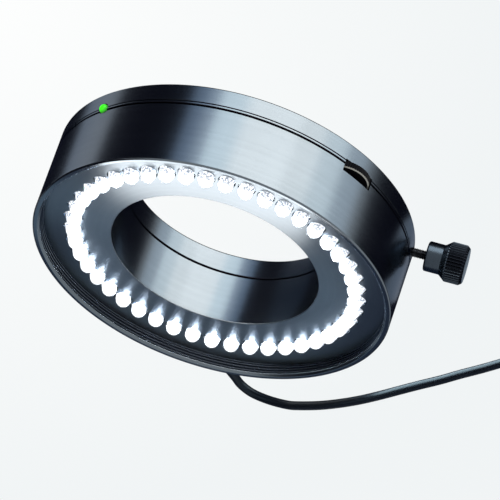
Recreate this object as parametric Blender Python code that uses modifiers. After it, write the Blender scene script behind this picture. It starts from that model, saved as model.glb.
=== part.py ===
"""Microscope ring light: a turned aluminium ring that clamps round a stereo microscope's objective.

Metres, +Z up, standing on its LED-side rim as it hangs in use. The ring's axis is the empty ring_axis,
and the clamp screw points along +X.
"""
import math

import bmesh
import bpy
from mathutils import Matrix, Vector

# Ring envelope
RING_RADIUS = 0.0570
RING_HEIGHT = 0.0286
BORE_RADIUS = 0.0330
OUTER_WALL = 0.0020
BORE_WALL = 0.0020
PARTING_HEIGHT = 0.0212
CLEARANCE = 0.0003
OVERRUN = 0.0010
FUSE = 0.0004
WELD_DISTANCE = 0.00001

# Rim and filter thread on the LED side
EDGE_BREAK = 0.0004
RIM_FLAT = 0.0011
RIM_CHAMFER = 0.0007
FILTER_PITCH = 0.0010
FILTER_THREAD_DEPTH = 0.0005
FILTER_TURNS = 3
PLATE_DEPTH = 0.0042
PLATE_THICKNESS = 0.0020
BORE_CHAMFER = 0.0003

# Back cover
COVER_THICKNESS = 0.0020
COVER_WALL = 0.0035
COVER_EDGE = 0.0005
PARTING_BREAK = 0.0002
GROOVE_OFFSET = 0.0008
GROOVE_WIDTH = 0.0003
GROOVE_DEPTH = 0.0003
SPIGOT_DEPTH = 0.0015
SPIGOT_WALL = 0.0012
COVER_BOSS_EXTRA = 0.0002

# LEDs and the moulded carriers that hold them
LED_COUNT = 45
BANK_COUNT = 5
LED_RADIUS = 0.0025
LED_BODY = 0.0061
LED_ROOT = 0.0012
LED_INSET = 0.0002
LED_DOME_DEPTH = 0.0034
LED_TILT_DEG = 25.0
LED_PHASE_DEG = 0.87
LED_HOLE_GAP = 0.0003
CARRIER_THICKNESS = 0.0022
CARRIER_INWARD = 0.0036
CARRIER_OUTWARD = 0.0023
BANK_GAP_DEG = 1.2

# Circuit boards
BOARD_THICKNESS = 0.0016
BOARD_EDGE_GAP = 0.0010
BOARD_SPACING = 0.0019
DRIVER_START_DEG = -156.0
DRIVER_END_DEG = -16.0
COVER_POST_RADIUS = 0.0030
BOARD_POST_RADIUS = 0.0022
PILLAR_RADIUS = 0.0026
COVER_POST_ANGLES = (60.0, 180.0, 300.0)
BOARD_POST_ANGLES = (20.0, 140.0, 260.0)
PILLAR_ANGLES = (-27.0, -91.0, -147.0)

# Screws that hold the boards and the cover
COVER_SCREW_SHANK = 0.00145
COVER_SCREW_HEAD = 0.0028
COVER_SCREW_HEAD_HEIGHT = 0.0014
COVER_SCREW_LENGTH = 0.0120
COVER_SCREW_SOCKET = 0.0010
COVER_SCREW_SOCKET_DEPTH = 0.0009
BOARD_SCREW_SHANK = 0.0009
BOARD_SCREW_HEAD = 0.0018
BOARD_SCREW_HEAD_HEIGHT = 0.0012
BOARD_SCREW_LENGTH = 0.0045

# Parts on the driver board, each with its angle, its length along the arc, its width and its height
CHIP_ANGLE_DEG = -72.0
CHIP_LENGTH = 0.0060
CHIP_WIDTH = 0.0040
CHIP_HEIGHT = 0.0016
INDUCTOR_ANGLE_DEG = -108.0
INDUCTOR_LENGTH = 0.0060
INDUCTOR_WIDTH = 0.0060
INDUCTOR_HEIGHT = 0.0030
CAPACITOR_ANGLE_DEG = -122.0
CAPACITOR_RADIUS = 0.0025
CAPACITOR_HEIGHT = 0.0054
TERMINAL_ANGLE_DEG = -152.5
TERMINAL_LENGTH = 0.0040
TERMINAL_WIDTH = 0.0060
TERMINAL_HEIGHT = 0.0042
HEADER_ANGLE_DEG = -60.0
HEADER_LENGTH = 0.0080
HEADER_WIDTH = 0.0026

# Dimmer
WHEEL_RADIUS = 0.0074
WHEEL_PROUD = 0.0020
WHEEL_THICKNESS = 0.0024
WHEEL_LIP = 0.0004
WHEEL_ANGLE_DEG = -47.3
WHEEL_TEETH = 30
WHEEL_TOOTH_DEPTH = 0.0003
WHEEL_SHAFT_RADIUS = 0.0010
WHEEL_SHAFT_GAP = 0.0001
WHEEL_SHAFT_LENGTH = 0.0024
SLOT_BELOW = 0.0014
SLOT_ABOVE = 0.0004
POT_RADIUS = 0.0030

# Status LED in its right-angle holder
STATUS_ANGLE_DEG = -136.9
STATUS_RADIUS = 0.0015
STATUS_PROUD = 0.0012
STATUS_BODY = 0.0075
STATUS_ABOVE_PARTING = 0.0011
STATUS_HOLE_GAP = 0.0003
HOLDER_WIDTH = 0.0050
HOLDER_DEPTH = 0.0040
HOLDER_COLLAR = 0.0020
HOLDER_WALL_GAP = 0.0005

# Clamp screw
CLAMP_BELOW_BACK = 0.00295
CLAMP_RADIUS = 0.0015
CLAMP_PITCH = 0.0005
CLAMP_THREAD_DEPTH = 0.0003
CLAMP_THREAD_RUN = 0.0090
CLAMP_FIT = 0.0001
CLAMP_GAP = 0.0043
CLAMP_ENGAGEMENT = 0.0060
CLAMP_BOSS_WIDTH = 0.0080
CLAMP_BOSS_BELOW = 0.0034
TIP_RECESS = 0.0003
TIP_LENGTH = 0.0020
TIP_ROUND = 0.0004
HUB_RADIUS = 0.0047
HUB_LENGTH = 0.0052
HUB_EDGE = 0.0004
KNOB_RADIUS = 0.0063
KNOB_TAPER = 0.0022
KNOB_GRIP = 0.0043
KNOB_CHAMFER = 0.0010
KNOB_FACE_CHAMFER = 0.0008
KNOB_TEETH = 32
KNOB_TOOTH_DEPTH = 0.00035

# Cord, its strain relief and its plug
CORD_RADIUS = 0.0015
CORD_STEP = 0.0070
GLAND_ANGLE_DEG = 88.0
GLAND_HEIGHT = 0.0140
GLAND_NECK = 0.0026
GLAND_FLANGE = 0.0036
GLAND_FLANGE_THICKNESS = 0.0018
GLAND_COLLAR = 0.0012
GLAND_BOOT_LENGTH = 0.0090
GLAND_BOOT_RADIUS = 0.0033
GLAND_TIP_RADIUS = 0.0022
COIL_CENTRE = (0.1235, 0.0165)
COIL_START_DEG = 227.8
COIL_OUTER = 0.0275
COIL_PITCH = 0.00345
COIL_TURNS_A_LAYER = 5.5
COIL_POINTS_A_TURN = 24
PLUG_RADIUS = 0.00495
PLUG_BODY_LENGTH = 0.0160
PLUG_BOOT_LENGTH = 0.0070
PLUG_BOOT_RADIUS = 0.0024
PLUG_EDGE = 0.0006
BARREL_RADIUS = 0.00275
BARREL_BORE = 0.0019
BARREL_LENGTH = 0.0095
BARREL_DEPTH = 0.0020
CONTACT_BORE = 0.00105
CONTACT_LENGTH = 0.0065
CONTACT_FLOOR = 0.0010

# Inner wires
WIRE_RADIUS = 0.0006
WIRE_SPACING = 0.0020
WIRE_STEP_DEG = 8.0

# Side counts and angles of facets
RING_SIDES = 52
LED_SIDES = 8
LED_DOME_RINGS = 4
HOLE_SIDES = 12
THREAD_SIDES = 10
SCREW_SIDES = 16
KNOB_SIDES = 32
SOCKET_SIDES = 6
SMOOTH_DEG = 30.0

# The free cord's route across the table to the coil, in the ring's own frame
CORD_ROUTE = (
    (0.0036, 0.0746, 0.0137),
    (0.0068, 0.0795, 0.0134),
    (0.0092, 0.0825, 0.0129),
    (0.0132, 0.0842, 0.0120),
    (0.0191, 0.0830, 0.0104),
    (0.0256, 0.0795, 0.0084),
    (0.0300, 0.0756, 0.0070),
    (0.0368, 0.0689, 0.0051),
    (0.0434, 0.0619, 0.0036),
    (0.0498, 0.0549, 0.0025),
    (0.0561, 0.0478, 0.0018),
    (0.0622, 0.0411, 0.0015),
    (0.0682, 0.0350, 0.0015),
    (0.0742, 0.0291, 0.0015),
    (0.0802, 0.0227, 0.0015),
    (0.0861, 0.0167, 0.0015),
    (0.0916, 0.0108, 0.0015),
    (0.0973, 0.0043, 0.0015),
)

# Heights and radii that follow from the sizes above
RECESS_RADIUS = RING_RADIUS - EDGE_BREAK - RIM_FLAT - RIM_CHAMFER
CHANNEL_OUTER = RING_RADIUS - OUTER_WALL
CHANNEL_INNER = BORE_RADIUS + BORE_WALL
PLATE_BACK = PLATE_DEPTH + PLATE_THICKNESS
COVER_LOW = PARTING_HEIGHT + CLEARANCE
COVER_INSIDE = RING_HEIGHT - COVER_THICKNESS
LED_TILT = math.radians(LED_TILT_DEG)
LED_PITCH = 2.0 * math.pi / LED_COUNT
LED_CIRCLE = (RING_RADIUS + BORE_RADIUS) / 2.0 - LED_INSET
LED_BASE_RADIUS = LED_CIRCLE + LED_BODY * math.sin(LED_TILT)
LED_BASE_HEIGHT = LED_DOME_DEPTH + LED_BODY * math.cos(LED_TILT)
CARRIER_INNER = LED_BASE_RADIUS - CARRIER_INWARD
CARRIER_OUTER = LED_BASE_RADIUS + CARRIER_OUTWARD
CARRIER_TOP = LED_BASE_HEIGHT + CARRIER_THICKNESS
POST_CIRCLE = (CHANNEL_INNER + CARRIER_INNER) / 2.0
PILLAR_CIRCLE = CARRIER_OUTER + CLEARANCE + PILLAR_RADIUS
LED_BOARD_LOW = CARRIER_TOP + CLEARANCE
LED_BOARD_TOP = LED_BOARD_LOW + BOARD_THICKNESS
DRIVER_LOW = LED_BOARD_TOP + BOARD_SPACING
DRIVER_TOP = DRIVER_LOW + BOARD_THICKNESS
DRIVER_INNER = POST_CIRCLE + COVER_POST_RADIUS + 2.0 * CLEARANCE
DRIVER_OUTER = CHANNEL_OUTER - CLEARANCE
DRIVER_MIDDLE = (DRIVER_INNER + DRIVER_OUTER) / 2.0
PART_LOW = DRIVER_TOP + CLEARANCE
WHEEL_CIRCLE = RING_RADIUS + WHEEL_PROUD - WHEEL_RADIUS
WHEEL_LOW = PARTING_HEIGHT + CLEARANCE / 2.0 - WHEEL_THICKNESS / 2.0
WHEEL_TOP = WHEEL_LOW + WHEEL_THICKNESS
STATUS_HEIGHT = PARTING_HEIGHT + STATUS_ABOVE_PARTING
HOLDER_OUTER = RING_RADIUS - COVER_WALL - HOLDER_WALL_GAP
CLAMP_HEIGHT = RING_HEIGHT - CLAMP_BELOW_BACK
CLAMP_HOLE = CLAMP_RADIUS + CLAMP_FIT
TIP_START = BORE_RADIUS + TIP_RECESS
SCREW_START = TIP_START + TIP_LENGTH + CLEARANCE
HUB_START = RING_RADIUS + CLAMP_GAP
SCREW_END = HUB_START + CLAMP_ENGAGEMENT
KNOB_START = HUB_START + HUB_LENGTH
GRIP_START = KNOB_START + KNOB_TAPER
GRIP_END = GRIP_START + KNOB_GRIP
KNOB_END = GRIP_END + KNOB_CHAMFER
COIL_LOW = CORD_RADIUS
COIL_HIGH = CORD_RADIUS + COIL_PITCH

# The bounding box of ring and knob is centred on the origin, so the ring's axis stands off it
AXIS_X = -(KNOB_END - RING_RADIUS) / 2.0

PARTS = bpy.data.collections.new("microscope_ring_light")
CUTTERS = bpy.data.collections.new("cutters")


def clear_scene():
    """Remove what the file opens with, link the two collections and set the ring's axis."""
    for old in list(bpy.data.objects):
        bpy.data.objects.remove(old, do_unlink=True)
    bpy.context.scene.collection.children.link(PARTS)
    bpy.context.scene.collection.children.link(CUTTERS)
    axis = bpy.data.objects.new("ring_axis", None)
    axis.location = (AXIS_X, 0.0, 0.0)
    PARTS.objects.link(axis)


def finish(name, colour, roughness, metallic=0.0):
    """Return a Principled material of one colour."""
    made = bpy.data.materials.new(name)
    made.use_nodes = True
    shader = made.node_tree.nodes["Principled BSDF"]
    shader.inputs["Base Color"].default_value = (*colour, 1.0)
    shader.inputs["Roughness"].default_value = roughness
    shader.inputs["Metallic"].default_value = metallic
    return made


def direction(degrees):
    """Unit vector from the ring's axis at an angle from +X."""
    angle = math.radians(degrees)
    return Vector((math.cos(angle), math.sin(angle), 0.0))


def around(degrees):
    """Rotation about the ring's axis."""
    return Matrix.Rotation(math.radians(degrees), 4, "Z")


def polar(radius, degrees, height=0.0):
    """Point at a radius, an angle and a height in the ring's frame."""
    return direction(degrees) * radius + Vector((0.0, 0.0, height))


def add(name, mesh, material=None, matrix=None, parent=None):
    """Make a part from a mesh, or a cutter where it has no material."""
    made = bpy.data.objects.new(name, mesh)
    if material is None:
        CUTTERS.objects.link(made)
        made.hide_render = True
        made.display_type = "WIRE"
    else:
        PARTS.objects.link(made)
        mesh.materials.append(material)
        mesh.set_sharp_from_angle(angle=math.radians(SMOOTH_DEG))
    made.parent = parent or bpy.data.objects["ring_axis"]
    if matrix is not None:
        made.matrix_local = matrix
    return made


def mesh_from(name, build):
    """Run a function on an empty bmesh and return the mesh that it makes."""
    shape = bmesh.new()
    build(shape)
    mesh = bpy.data.meshes.new(name)
    shape.to_mesh(mesh)
    shape.free()
    return mesh


def put_cylinder(shape, radius, low, high, sides, centre=None, top_radius=None, turn=None):
    """Add a capped cylinder or cone along Z between two heights, moved to a centre and then turned."""
    place = Matrix.Translation(Vector((0.0, 0.0, (low + high) / 2.0)))
    if centre is not None:
        place = Matrix.Translation(centre) @ place
    if turn is not None:
        place = turn @ place
    bmesh.ops.create_cone(
        shape,
        cap_ends=True,
        segments=sides,
        radius1=radius,
        radius2=radius if top_radius is None else top_radius,
        depth=high - low,
        matrix=place,
    )


def put_row(shape, radius, low, high, sides, circle, angles):
    """Add an upright cylinder at each angle of a circle round the ring's axis."""
    for angle in angles:
        put_cylinder(shape, radius, low, high, sides, polar(circle, angle))


def put_box(shape, low, high, turn=None):
    """Add a box between two corners, then turn it."""
    low = Vector(low)
    high = Vector(high)
    size = high - low
    place = Matrix.Translation((low + high) / 2.0) @ Matrix.Diagonal((*size, 1.0))
    if turn is not None:
        place = turn @ place
    bmesh.ops.create_cube(shape, size=1.0, matrix=place)


def box_mesh(name, low, high):
    """Return one box as a mesh."""
    return mesh_from(name, lambda shape: put_box(shape, low, high))


def turned(name, profile, sides, closed, material=None, matrix=None, parent=None):
    """Spin a profile of radius and height about its own Z axis."""
    mesh = bpy.data.meshes.new(name)
    count = len(profile)
    edges = [(index, index + 1) for index in range(count - 1)]
    if closed:
        edges.append((count - 1, 0))
    mesh.from_pydata([(radius, 0.0, height) for radius, height in profile], edges, [])
    made = add(name, mesh, material, matrix, parent)
    spin = made.modifiers.new("turn", "SCREW")
    spin.axis = "Z"
    spin.steps = sides
    spin.render_steps = sides
    spin.use_merge_vertices = True
    spin.merge_threshold = WELD_DISTANCE
    return made


def solid_copy(source, name):
    """Return a welded mesh of an object as it is evaluated, and remove the object."""
    view = bpy.context.evaluated_depsgraph_get()
    view.update()
    mesh = bpy.data.meshes.new_from_object(source.evaluated_get(view))
    bpy.data.objects.remove(source, do_unlink=True)
    shape = bmesh.new()
    shape.from_mesh(mesh)
    bmesh.ops.remove_doubles(shape, verts=shape.verts, dist=WELD_DISTANCE)
    bmesh.ops.recalc_face_normals(shape, faces=shape.faces)
    shape.to_mesh(mesh)
    shape.free()
    mesh.name = name
    mesh.materials.clear()
    return mesh


def flat_mesh(name, outline, low, high):
    """Return a flat closed outline made thick between two heights."""
    curve = bpy.data.curves.new(name, "CURVE")
    curve.dimensions = "2D"
    curve.fill_mode = "BOTH"
    curve.extrude = (high - low) / 2.0
    spline = curve.splines.new("POLY")
    spline.points.add(len(outline) - 1)
    for point, (x, y) in zip(spline.points, outline):
        point.co = (x, y, 0.0, 1.0)
    spline.use_cyclic_u = True
    drawn = bpy.data.objects.new(name, curve)
    CUTTERS.objects.link(drawn)
    mesh = solid_copy(drawn, name)
    mesh.transform(Matrix.Translation((0.0, 0.0, (low + high) / 2.0)))
    return mesh


def arc_outline(inner, outer, start, end, step):
    """Outline of a flat arc between two radii and two angles in degrees."""
    count = max(2, round((end - start) / step))
    angles = [start + (end - start) * index / count for index in range(count + 1)]
    far_side = [polar(outer, angle).xy for angle in angles]
    near_side = [polar(inner, angle).xy for angle in reversed(angles)]
    return far_side + near_side


def star_outline(radius, depth, teeth):
    """Outline of a straight knurl: one crest and one root to each tooth."""
    points = []
    for index in range(2 * teeth):
        reach = radius if index % 2 == 0 else radius - depth
        points.append(polar(reach, 180.0 * index / teeth).xy)
    return points


def tube_mesh(name, points, radius, resolution):
    """Return a round tube along a line of points, with its ends filled."""
    curve = bpy.data.curves.new(name, "CURVE")
    curve.dimensions = "3D"
    curve.bevel_depth = radius
    curve.bevel_resolution = resolution
    curve.use_fill_caps = True
    spline = curve.splines.new("POLY")
    spline.points.add(len(points) - 1)
    for point, place in zip(spline.points, points):
        point.co = (*place, 1.0)
    drawn = bpy.data.objects.new(name, curve)
    CUTTERS.objects.link(drawn)
    return solid_copy(drawn, name)


def combine(target, tool, operation):
    """Join a cutter to a part, or cut it away."""
    step = target.modifiers.new(tool.name, "BOOLEAN")
    step.operation = operation
    step.solver = "EXACT"
    step.object = tool


def cut(target, *tools):
    """Cut each tool away from a part."""
    for tool in tools:
        combine(target, tool, "DIFFERENCE")


def join(target, *tools):
    """Join each tool to a part."""
    for tool in tools:
        combine(target, tool, "UNION")


def radial(degrees, height):
    """Frame whose Z axis points straight out from the ring's axis at an angle and a height."""
    lie_down = Matrix.Rotation(math.pi / 2.0, 4, "Y")
    return Matrix.Translation((0.0, 0.0, height)) @ around(degrees) @ lie_down


def led_frame(index):
    """Frame at an LED's dome centre, its Z axis running back into the ring."""
    angle = math.degrees(index * LED_PITCH) + LED_PHASE_DEG
    lean = Matrix.Rotation(LED_TILT, 4, "Y")
    return around(angle) @ Matrix.Translation((LED_CIRCLE, 0.0, LED_DOME_DEPTH)) @ lean


def make_housing():
    """Turned housing: filter-thread rim, drilled LED plate, bore wall, posts and the wall's openings."""
    profile = [
        (RING_RADIUS - PARTING_BREAK, PARTING_HEIGHT),
        (RING_RADIUS, PARTING_HEIGHT - PARTING_BREAK),
        (RING_RADIUS, EDGE_BREAK),
        (RING_RADIUS - EDGE_BREAK, 0.0),
        (RING_RADIUS - EDGE_BREAK - RIM_FLAT, 0.0),
        (RECESS_RADIUS, RIM_CHAMFER),
    ]
    for turn in range(FILTER_TURNS):
        crest = RIM_CHAMFER + turn * FILTER_PITCH
        profile.append((RECESS_RADIUS + FILTER_THREAD_DEPTH, crest + FILTER_PITCH / 2.0))
        profile.append((RECESS_RADIUS, crest + FILTER_PITCH))
    profile += [
        (RECESS_RADIUS, PLATE_DEPTH),
        (BORE_RADIUS + BORE_CHAMFER, PLATE_DEPTH),
        (BORE_RADIUS, PLATE_DEPTH + BORE_CHAMFER),
        (BORE_RADIUS, PARTING_HEIGHT - PARTING_BREAK),
        (BORE_RADIUS + PARTING_BREAK, PARTING_HEIGHT),
        (CHANNEL_INNER, PARTING_HEIGHT),
        (CHANNEL_INNER, PLATE_BACK),
        (CHANNEL_OUTER, PLATE_BACK),
        (CHANNEL_OUTER, PARTING_HEIGHT),
    ]
    housing = turned("housing", profile, RING_SIDES, True, BLACK_ALUMINIUM)

    def posts(shape):
        root = PLATE_BACK - FUSE
        top = DRIVER_LOW - CLEARANCE
        put_row(shape, COVER_POST_RADIUS, root, PARTING_HEIGHT, SCREW_SIDES, POST_CIRCLE, COVER_POST_ANGLES)
        put_row(shape, BOARD_POST_RADIUS, root, CARRIER_TOP, SCREW_SIDES, POST_CIRCLE, BOARD_POST_ANGLES)
        put_row(shape, PILLAR_RADIUS, root, top, SCREW_SIDES, PILLAR_CIRCLE, PILLAR_ANGLES)

    def led_holes(shape):
        low = -LED_RADIUS - OVERRUN
        high = LED_BODY
        for index in range(LED_COUNT):
            put_cylinder(shape, LED_RADIUS + LED_HOLE_GAP, low, high, LED_SIDES, turn=led_frame(index))

    def tapped_holes(shape):
        hole = COVER_SCREW_SHANK + CLEARANCE
        root = RING_HEIGHT - COVER_SCREW_LENGTH - OVERRUN
        top = PARTING_HEIGHT + OVERRUN
        put_row(shape, hole, root, top, HOLE_SIDES, POST_CIRCLE, COVER_POST_ANGLES)
        hole = BOARD_SCREW_SHANK + CLEARANCE
        reach = BOARD_SCREW_LENGTH + OVERRUN - BOARD_THICKNESS - CLEARANCE
        top = CARRIER_TOP + OVERRUN
        put_row(shape, hole, CARRIER_TOP - reach, top, HOLE_SIDES, POST_CIRCLE, BOARD_POST_ANGLES)
        top = DRIVER_LOW + OVERRUN
        put_row(shape, hole, DRIVER_LOW - reach, top, HOLE_SIDES, PILLAR_CIRCLE, PILLAR_ANGLES)

    def gland_hole(shape):
        low = CHANNEL_OUTER - OVERRUN
        high = RING_RADIUS + OVERRUN
        turn = radial(GLAND_ANGLE_DEG, GLAND_HEIGHT)
        put_cylinder(shape, GLAND_NECK + CLEARANCE, low, high, SCREW_SIDES, turn=turn)

    join(housing, add("housing_posts", mesh_from("housing_posts", posts)))
    cut(
        housing,
        add("led_holes", mesh_from("led_holes", led_holes)),
        add("tapped_holes", mesh_from("tapped_holes", tapped_holes)),
        add("gland_hole", mesh_from("gland_hole", gland_hole)),
    )
    return housing


def make_cover():
    """Turned back cover with its spigot, groove, screw bosses and the radial boss of the clamp screw."""
    groove_low = COVER_LOW + GROOVE_OFFSET
    groove_high = groove_low + GROOVE_WIDTH
    spigot_radius = CHANNEL_OUTER - CLEARANCE
    inside_radius = RING_RADIUS - COVER_WALL
    profile = [
        (RING_RADIUS - COVER_EDGE, RING_HEIGHT),
        (RING_RADIUS, RING_HEIGHT - COVER_EDGE),
        (RING_RADIUS, groove_high),
        (RING_RADIUS - GROOVE_DEPTH, groove_high),
        (RING_RADIUS - GROOVE_DEPTH, groove_low),
        (RING_RADIUS, groove_low),
        (RING_RADIUS, COVER_LOW + PARTING_BREAK),
        (RING_RADIUS - PARTING_BREAK, COVER_LOW),
        (spigot_radius, COVER_LOW),
        (spigot_radius, COVER_LOW - SPIGOT_DEPTH),
        (spigot_radius - SPIGOT_WALL, COVER_LOW - SPIGOT_DEPTH),
        (inside_radius, COVER_LOW),
        (inside_radius, COVER_INSIDE),
        (CHANNEL_INNER, COVER_INSIDE),
        (CHANNEL_INNER, COVER_LOW),
        (BORE_RADIUS + PARTING_BREAK, COVER_LOW),
        (BORE_RADIUS, COVER_LOW + PARTING_BREAK),
        (BORE_RADIUS, RING_HEIGHT - COVER_EDGE),
        (BORE_RADIUS + COVER_EDGE, RING_HEIGHT),
    ]
    cover = turned("back_cover", profile, RING_SIDES, True, BLACK_ALUMINIUM)

    def bosses(shape):
        radius = COVER_POST_RADIUS + COVER_BOSS_EXTRA
        top = COVER_INSIDE + FUSE
        put_row(shape, radius, COVER_LOW, top, SCREW_SIDES, POST_CIRCLE, COVER_POST_ANGLES)

    def clamp_boss(shape):
        half = CLAMP_BOSS_WIDTH / 2.0
        low = (CHANNEL_INNER - FUSE, -half, CLAMP_HEIGHT - CLAMP_BOSS_BELOW)
        high = (RING_RADIUS - COVER_WALL + FUSE, half, COVER_INSIDE + FUSE)
        put_box(shape, low, high)

    def screw_holes(shape):
        hole = COVER_SCREW_SHANK + CLEARANCE
        top = RING_HEIGHT + OVERRUN
        put_row(shape, hole, COVER_LOW - OVERRUN, top, SCREW_SIDES, POST_CIRCLE, COVER_POST_ANGLES)

    def countersinks(shape):
        low = RING_HEIGHT - COVER_SCREW_HEAD_HEIGHT - CLEARANCE
        wide = COVER_SCREW_HEAD + CLEARANCE
        narrow = COVER_SCREW_SHANK + CLEARANCE
        slope = (wide - narrow) / COVER_SCREW_HEAD_HEIGHT
        top = RING_HEIGHT + OVERRUN
        for angle in COVER_POST_ANGLES:
            place = polar(POST_CIRCLE, angle)
            put_cylinder(shape, narrow, low, top, SCREW_SIDES, place, narrow + slope * (top - low))

    def clamp_hole(shape):
        low = BORE_RADIUS - OVERRUN
        high = RING_RADIUS + OVERRUN
        put_cylinder(shape, CLAMP_HOLE, low, high, SCREW_SIDES, turn=radial(0.0, CLAMP_HEIGHT))

    join(cover, add("cover_bosses", mesh_from("cover_bosses", bosses)))
    join(cover, add("clamp_boss", mesh_from("clamp_boss", clamp_boss)))
    cut(
        cover,
        add("cover_screw_holes", mesh_from("cover_screw_holes", screw_holes)),
        add("countersinks", mesh_from("countersinks", countersinks)),
        add("clamp_hole", mesh_from("clamp_hole", clamp_hole)),
    )
    return cover


def make_wall_openings(housing, cover):
    """Openings across the parting line: the dimmer's slot, its pocket and the status LED's hole."""
    def slot(shape):
        centre = polar(WHEEL_CIRCLE, WHEEL_ANGLE_DEG)
        low = WHEEL_LOW - SLOT_BELOW
        high = WHEEL_TOP + SLOT_ABOVE
        put_cylinder(shape, WHEEL_RADIUS + CLEARANCE, low, high, 2 * SCREW_SIDES, centre)

    def pocket(shape):
        centre = polar(WHEEL_CIRCLE, WHEEL_ANGLE_DEG)
        put_cylinder(shape, POT_RADIUS + CLEARANCE, DRIVER_TOP, WHEEL_LOW, SCREW_SIDES, centre)

    def hole(shape):
        turn = radial(STATUS_ANGLE_DEG, STATUS_HEIGHT)
        low = RING_RADIUS - COVER_WALL - OVERRUN
        high = RING_RADIUS + OVERRUN
        put_cylinder(shape, STATUS_RADIUS + STATUS_HOLE_GAP, low, high, SCREW_SIDES, turn=turn)

    slot_tool = add("dimmer_slot", mesh_from("dimmer_slot", slot))
    pocket_tool = add("dimmer_pocket", mesh_from("dimmer_pocket", pocket))
    hole_tool = add("status_hole", mesh_from("status_hole", hole))
    cut(housing, slot_tool, pocket_tool, hole_tool)
    cut(cover, slot_tool, hole_tool)


def make_led_banks():
    """Moulded arc carriers, each with its row of tilted LEDs."""
    each = LED_COUNT // BANK_COUNT
    pitch = math.degrees(LED_PITCH)
    for bank in range(BANK_COUNT):
        first = bank * each
        start = LED_PHASE_DEG + (first - 0.5) * pitch + BANK_GAP_DEG / 2.0
        end = start + each * pitch - BANK_GAP_DEG
        outline = arc_outline(CARRIER_INNER, CARRIER_OUTER, start, end, pitch)
        name = f"led_bank_{bank + 1}"
        carrier = add(name, flat_mesh(name, outline, LED_BASE_HEIGHT, CARRIER_TOP), LED_CLEAR)

        def leds(shape):
            for index in range(first, first + each):
                frame = led_frame(index)
                ball = bmesh.ops.create_uvsphere(
                    shape,
                    u_segments=LED_SIDES,
                    v_segments=LED_DOME_RINGS,
                    radius=LED_RADIUS,
                    matrix=frame,
                )
                inner = [vert for vert in ball["verts"] if (frame.inverted() @ vert.co).z > FUSE]
                bmesh.ops.delete(shape, geom=inner, context="VERTS")
                rim = [edge for edge in shape.edges if edge.is_boundary]
                body = bmesh.ops.extrude_edge_only(shape, edges=rim)["geom"]
                moved = [item for item in body if isinstance(item, bmesh.types.BMVert)]
                back = frame.to_3x3() @ Vector((0.0, 0.0, LED_BODY + LED_ROOT))
                bmesh.ops.translate(shape, verts=moved, vec=back)
                end_edges = [edge for edge in shape.edges if edge.is_boundary]
                bmesh.ops.contextual_create(shape, geom=end_edges)
            bmesh.ops.recalc_face_normals(shape, faces=shape.faces)

        join(carrier, add(f"leds_{bank + 1}", mesh_from(f"leds_{bank + 1}", leds)))


def make_boards():
    """The ring-shaped LED board, the arc-shaped driver board, and the header between them."""
    step = 360.0 / RING_SIDES
    inner = CHANNEL_INNER + BOARD_EDGE_GAP
    profile = [
        (CARRIER_OUTER, LED_BOARD_TOP),
        (CARRIER_OUTER, LED_BOARD_LOW),
        (inner, LED_BOARD_LOW),
        (inner, LED_BOARD_TOP),
    ]
    led_board = turned("led_board", profile, RING_SIDES, True, BOARD_GREEN)

    def led_board_holes(shape):
        low = LED_BOARD_LOW - OVERRUN
        high = LED_BOARD_TOP + OVERRUN
        hole = COVER_POST_RADIUS + CLEARANCE
        put_row(shape, hole, low, high, SCREW_SIDES, POST_CIRCLE, COVER_POST_ANGLES)
        hole = BOARD_SCREW_SHANK + CLEARANCE
        put_row(shape, hole, low, high, HOLE_SIDES, POST_CIRCLE, BOARD_POST_ANGLES)

    cut(led_board, add("led_board_holes", mesh_from("led_board_holes", led_board_holes)))

    outline = arc_outline(DRIVER_INNER, DRIVER_OUTER, DRIVER_START_DEG, DRIVER_END_DEG, step)
    board_mesh = flat_mesh("driver_board", outline, DRIVER_LOW, DRIVER_TOP)
    driver_board = add("driver_board", board_mesh, BOARD_GREEN)

    def driver_holes(shape):
        low = DRIVER_LOW - OVERRUN
        high = DRIVER_TOP + OVERRUN
        hole = BOARD_SCREW_SHANK + CLEARANCE
        put_row(shape, hole, low, high, HOLE_SIDES, PILLAR_CIRCLE, PILLAR_ANGLES)

    cut(driver_board, add("driver_holes", mesh_from("driver_holes", driver_holes)))

    header_circle = (DRIVER_INNER + CARRIER_OUTER) / 2.0
    size = (HEADER_WIDTH, HEADER_LENGTH)
    heights = (LED_BOARD_TOP + CLEARANCE, DRIVER_LOW - CLEARANCE)
    block_on_board("board_header", HEADER_ANGLE_DEG, header_circle, size, heights, BLACK_PLASTIC)


def block_on_board(name, angle, circle, across, heights, material):
    """Add a box at an angle round the ring: across gives its radial and its tangential size."""
    half_radial = across[0] / 2.0
    half_tangent = across[1] / 2.0
    low = (circle - half_radial, -half_tangent, heights[0])
    high = (circle + half_radial, half_tangent, heights[1])
    return add(name, box_mesh(name, low, high), material, around(angle))


def make_board_parts():
    """Driver chip, inductor, capacitor and the supply terminal on the driver board."""
    low = PART_LOW
    heights = (low, low + CHIP_HEIGHT)
    size = (CHIP_WIDTH, CHIP_LENGTH)
    block_on_board("driver_chip", CHIP_ANGLE_DEG, DRIVER_MIDDLE, size, heights, CHIP_BLACK)
    heights = (low, low + INDUCTOR_HEIGHT)
    size = (INDUCTOR_WIDTH, INDUCTOR_LENGTH)
    block_on_board("power_inductor", INDUCTOR_ANGLE_DEG, DRIVER_MIDDLE, size, heights, FERRITE)
    heights = (low, low + TERMINAL_HEIGHT)
    size = (TERMINAL_WIDTH, TERMINAL_LENGTH)
    block_on_board("supply_terminal", TERMINAL_ANGLE_DEG, DRIVER_MIDDLE, size, heights, TERMINAL_WHITE)

    def can(shape):
        centre = polar(DRIVER_MIDDLE, CAPACITOR_ANGLE_DEG)
        put_cylinder(shape, CAPACITOR_RADIUS, low, low + CAPACITOR_HEIGHT, SCREW_SIDES, centre)

    add("smoothing_capacitor", mesh_from("smoothing_capacitor", can), BARE_ALUMINIUM)


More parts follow.
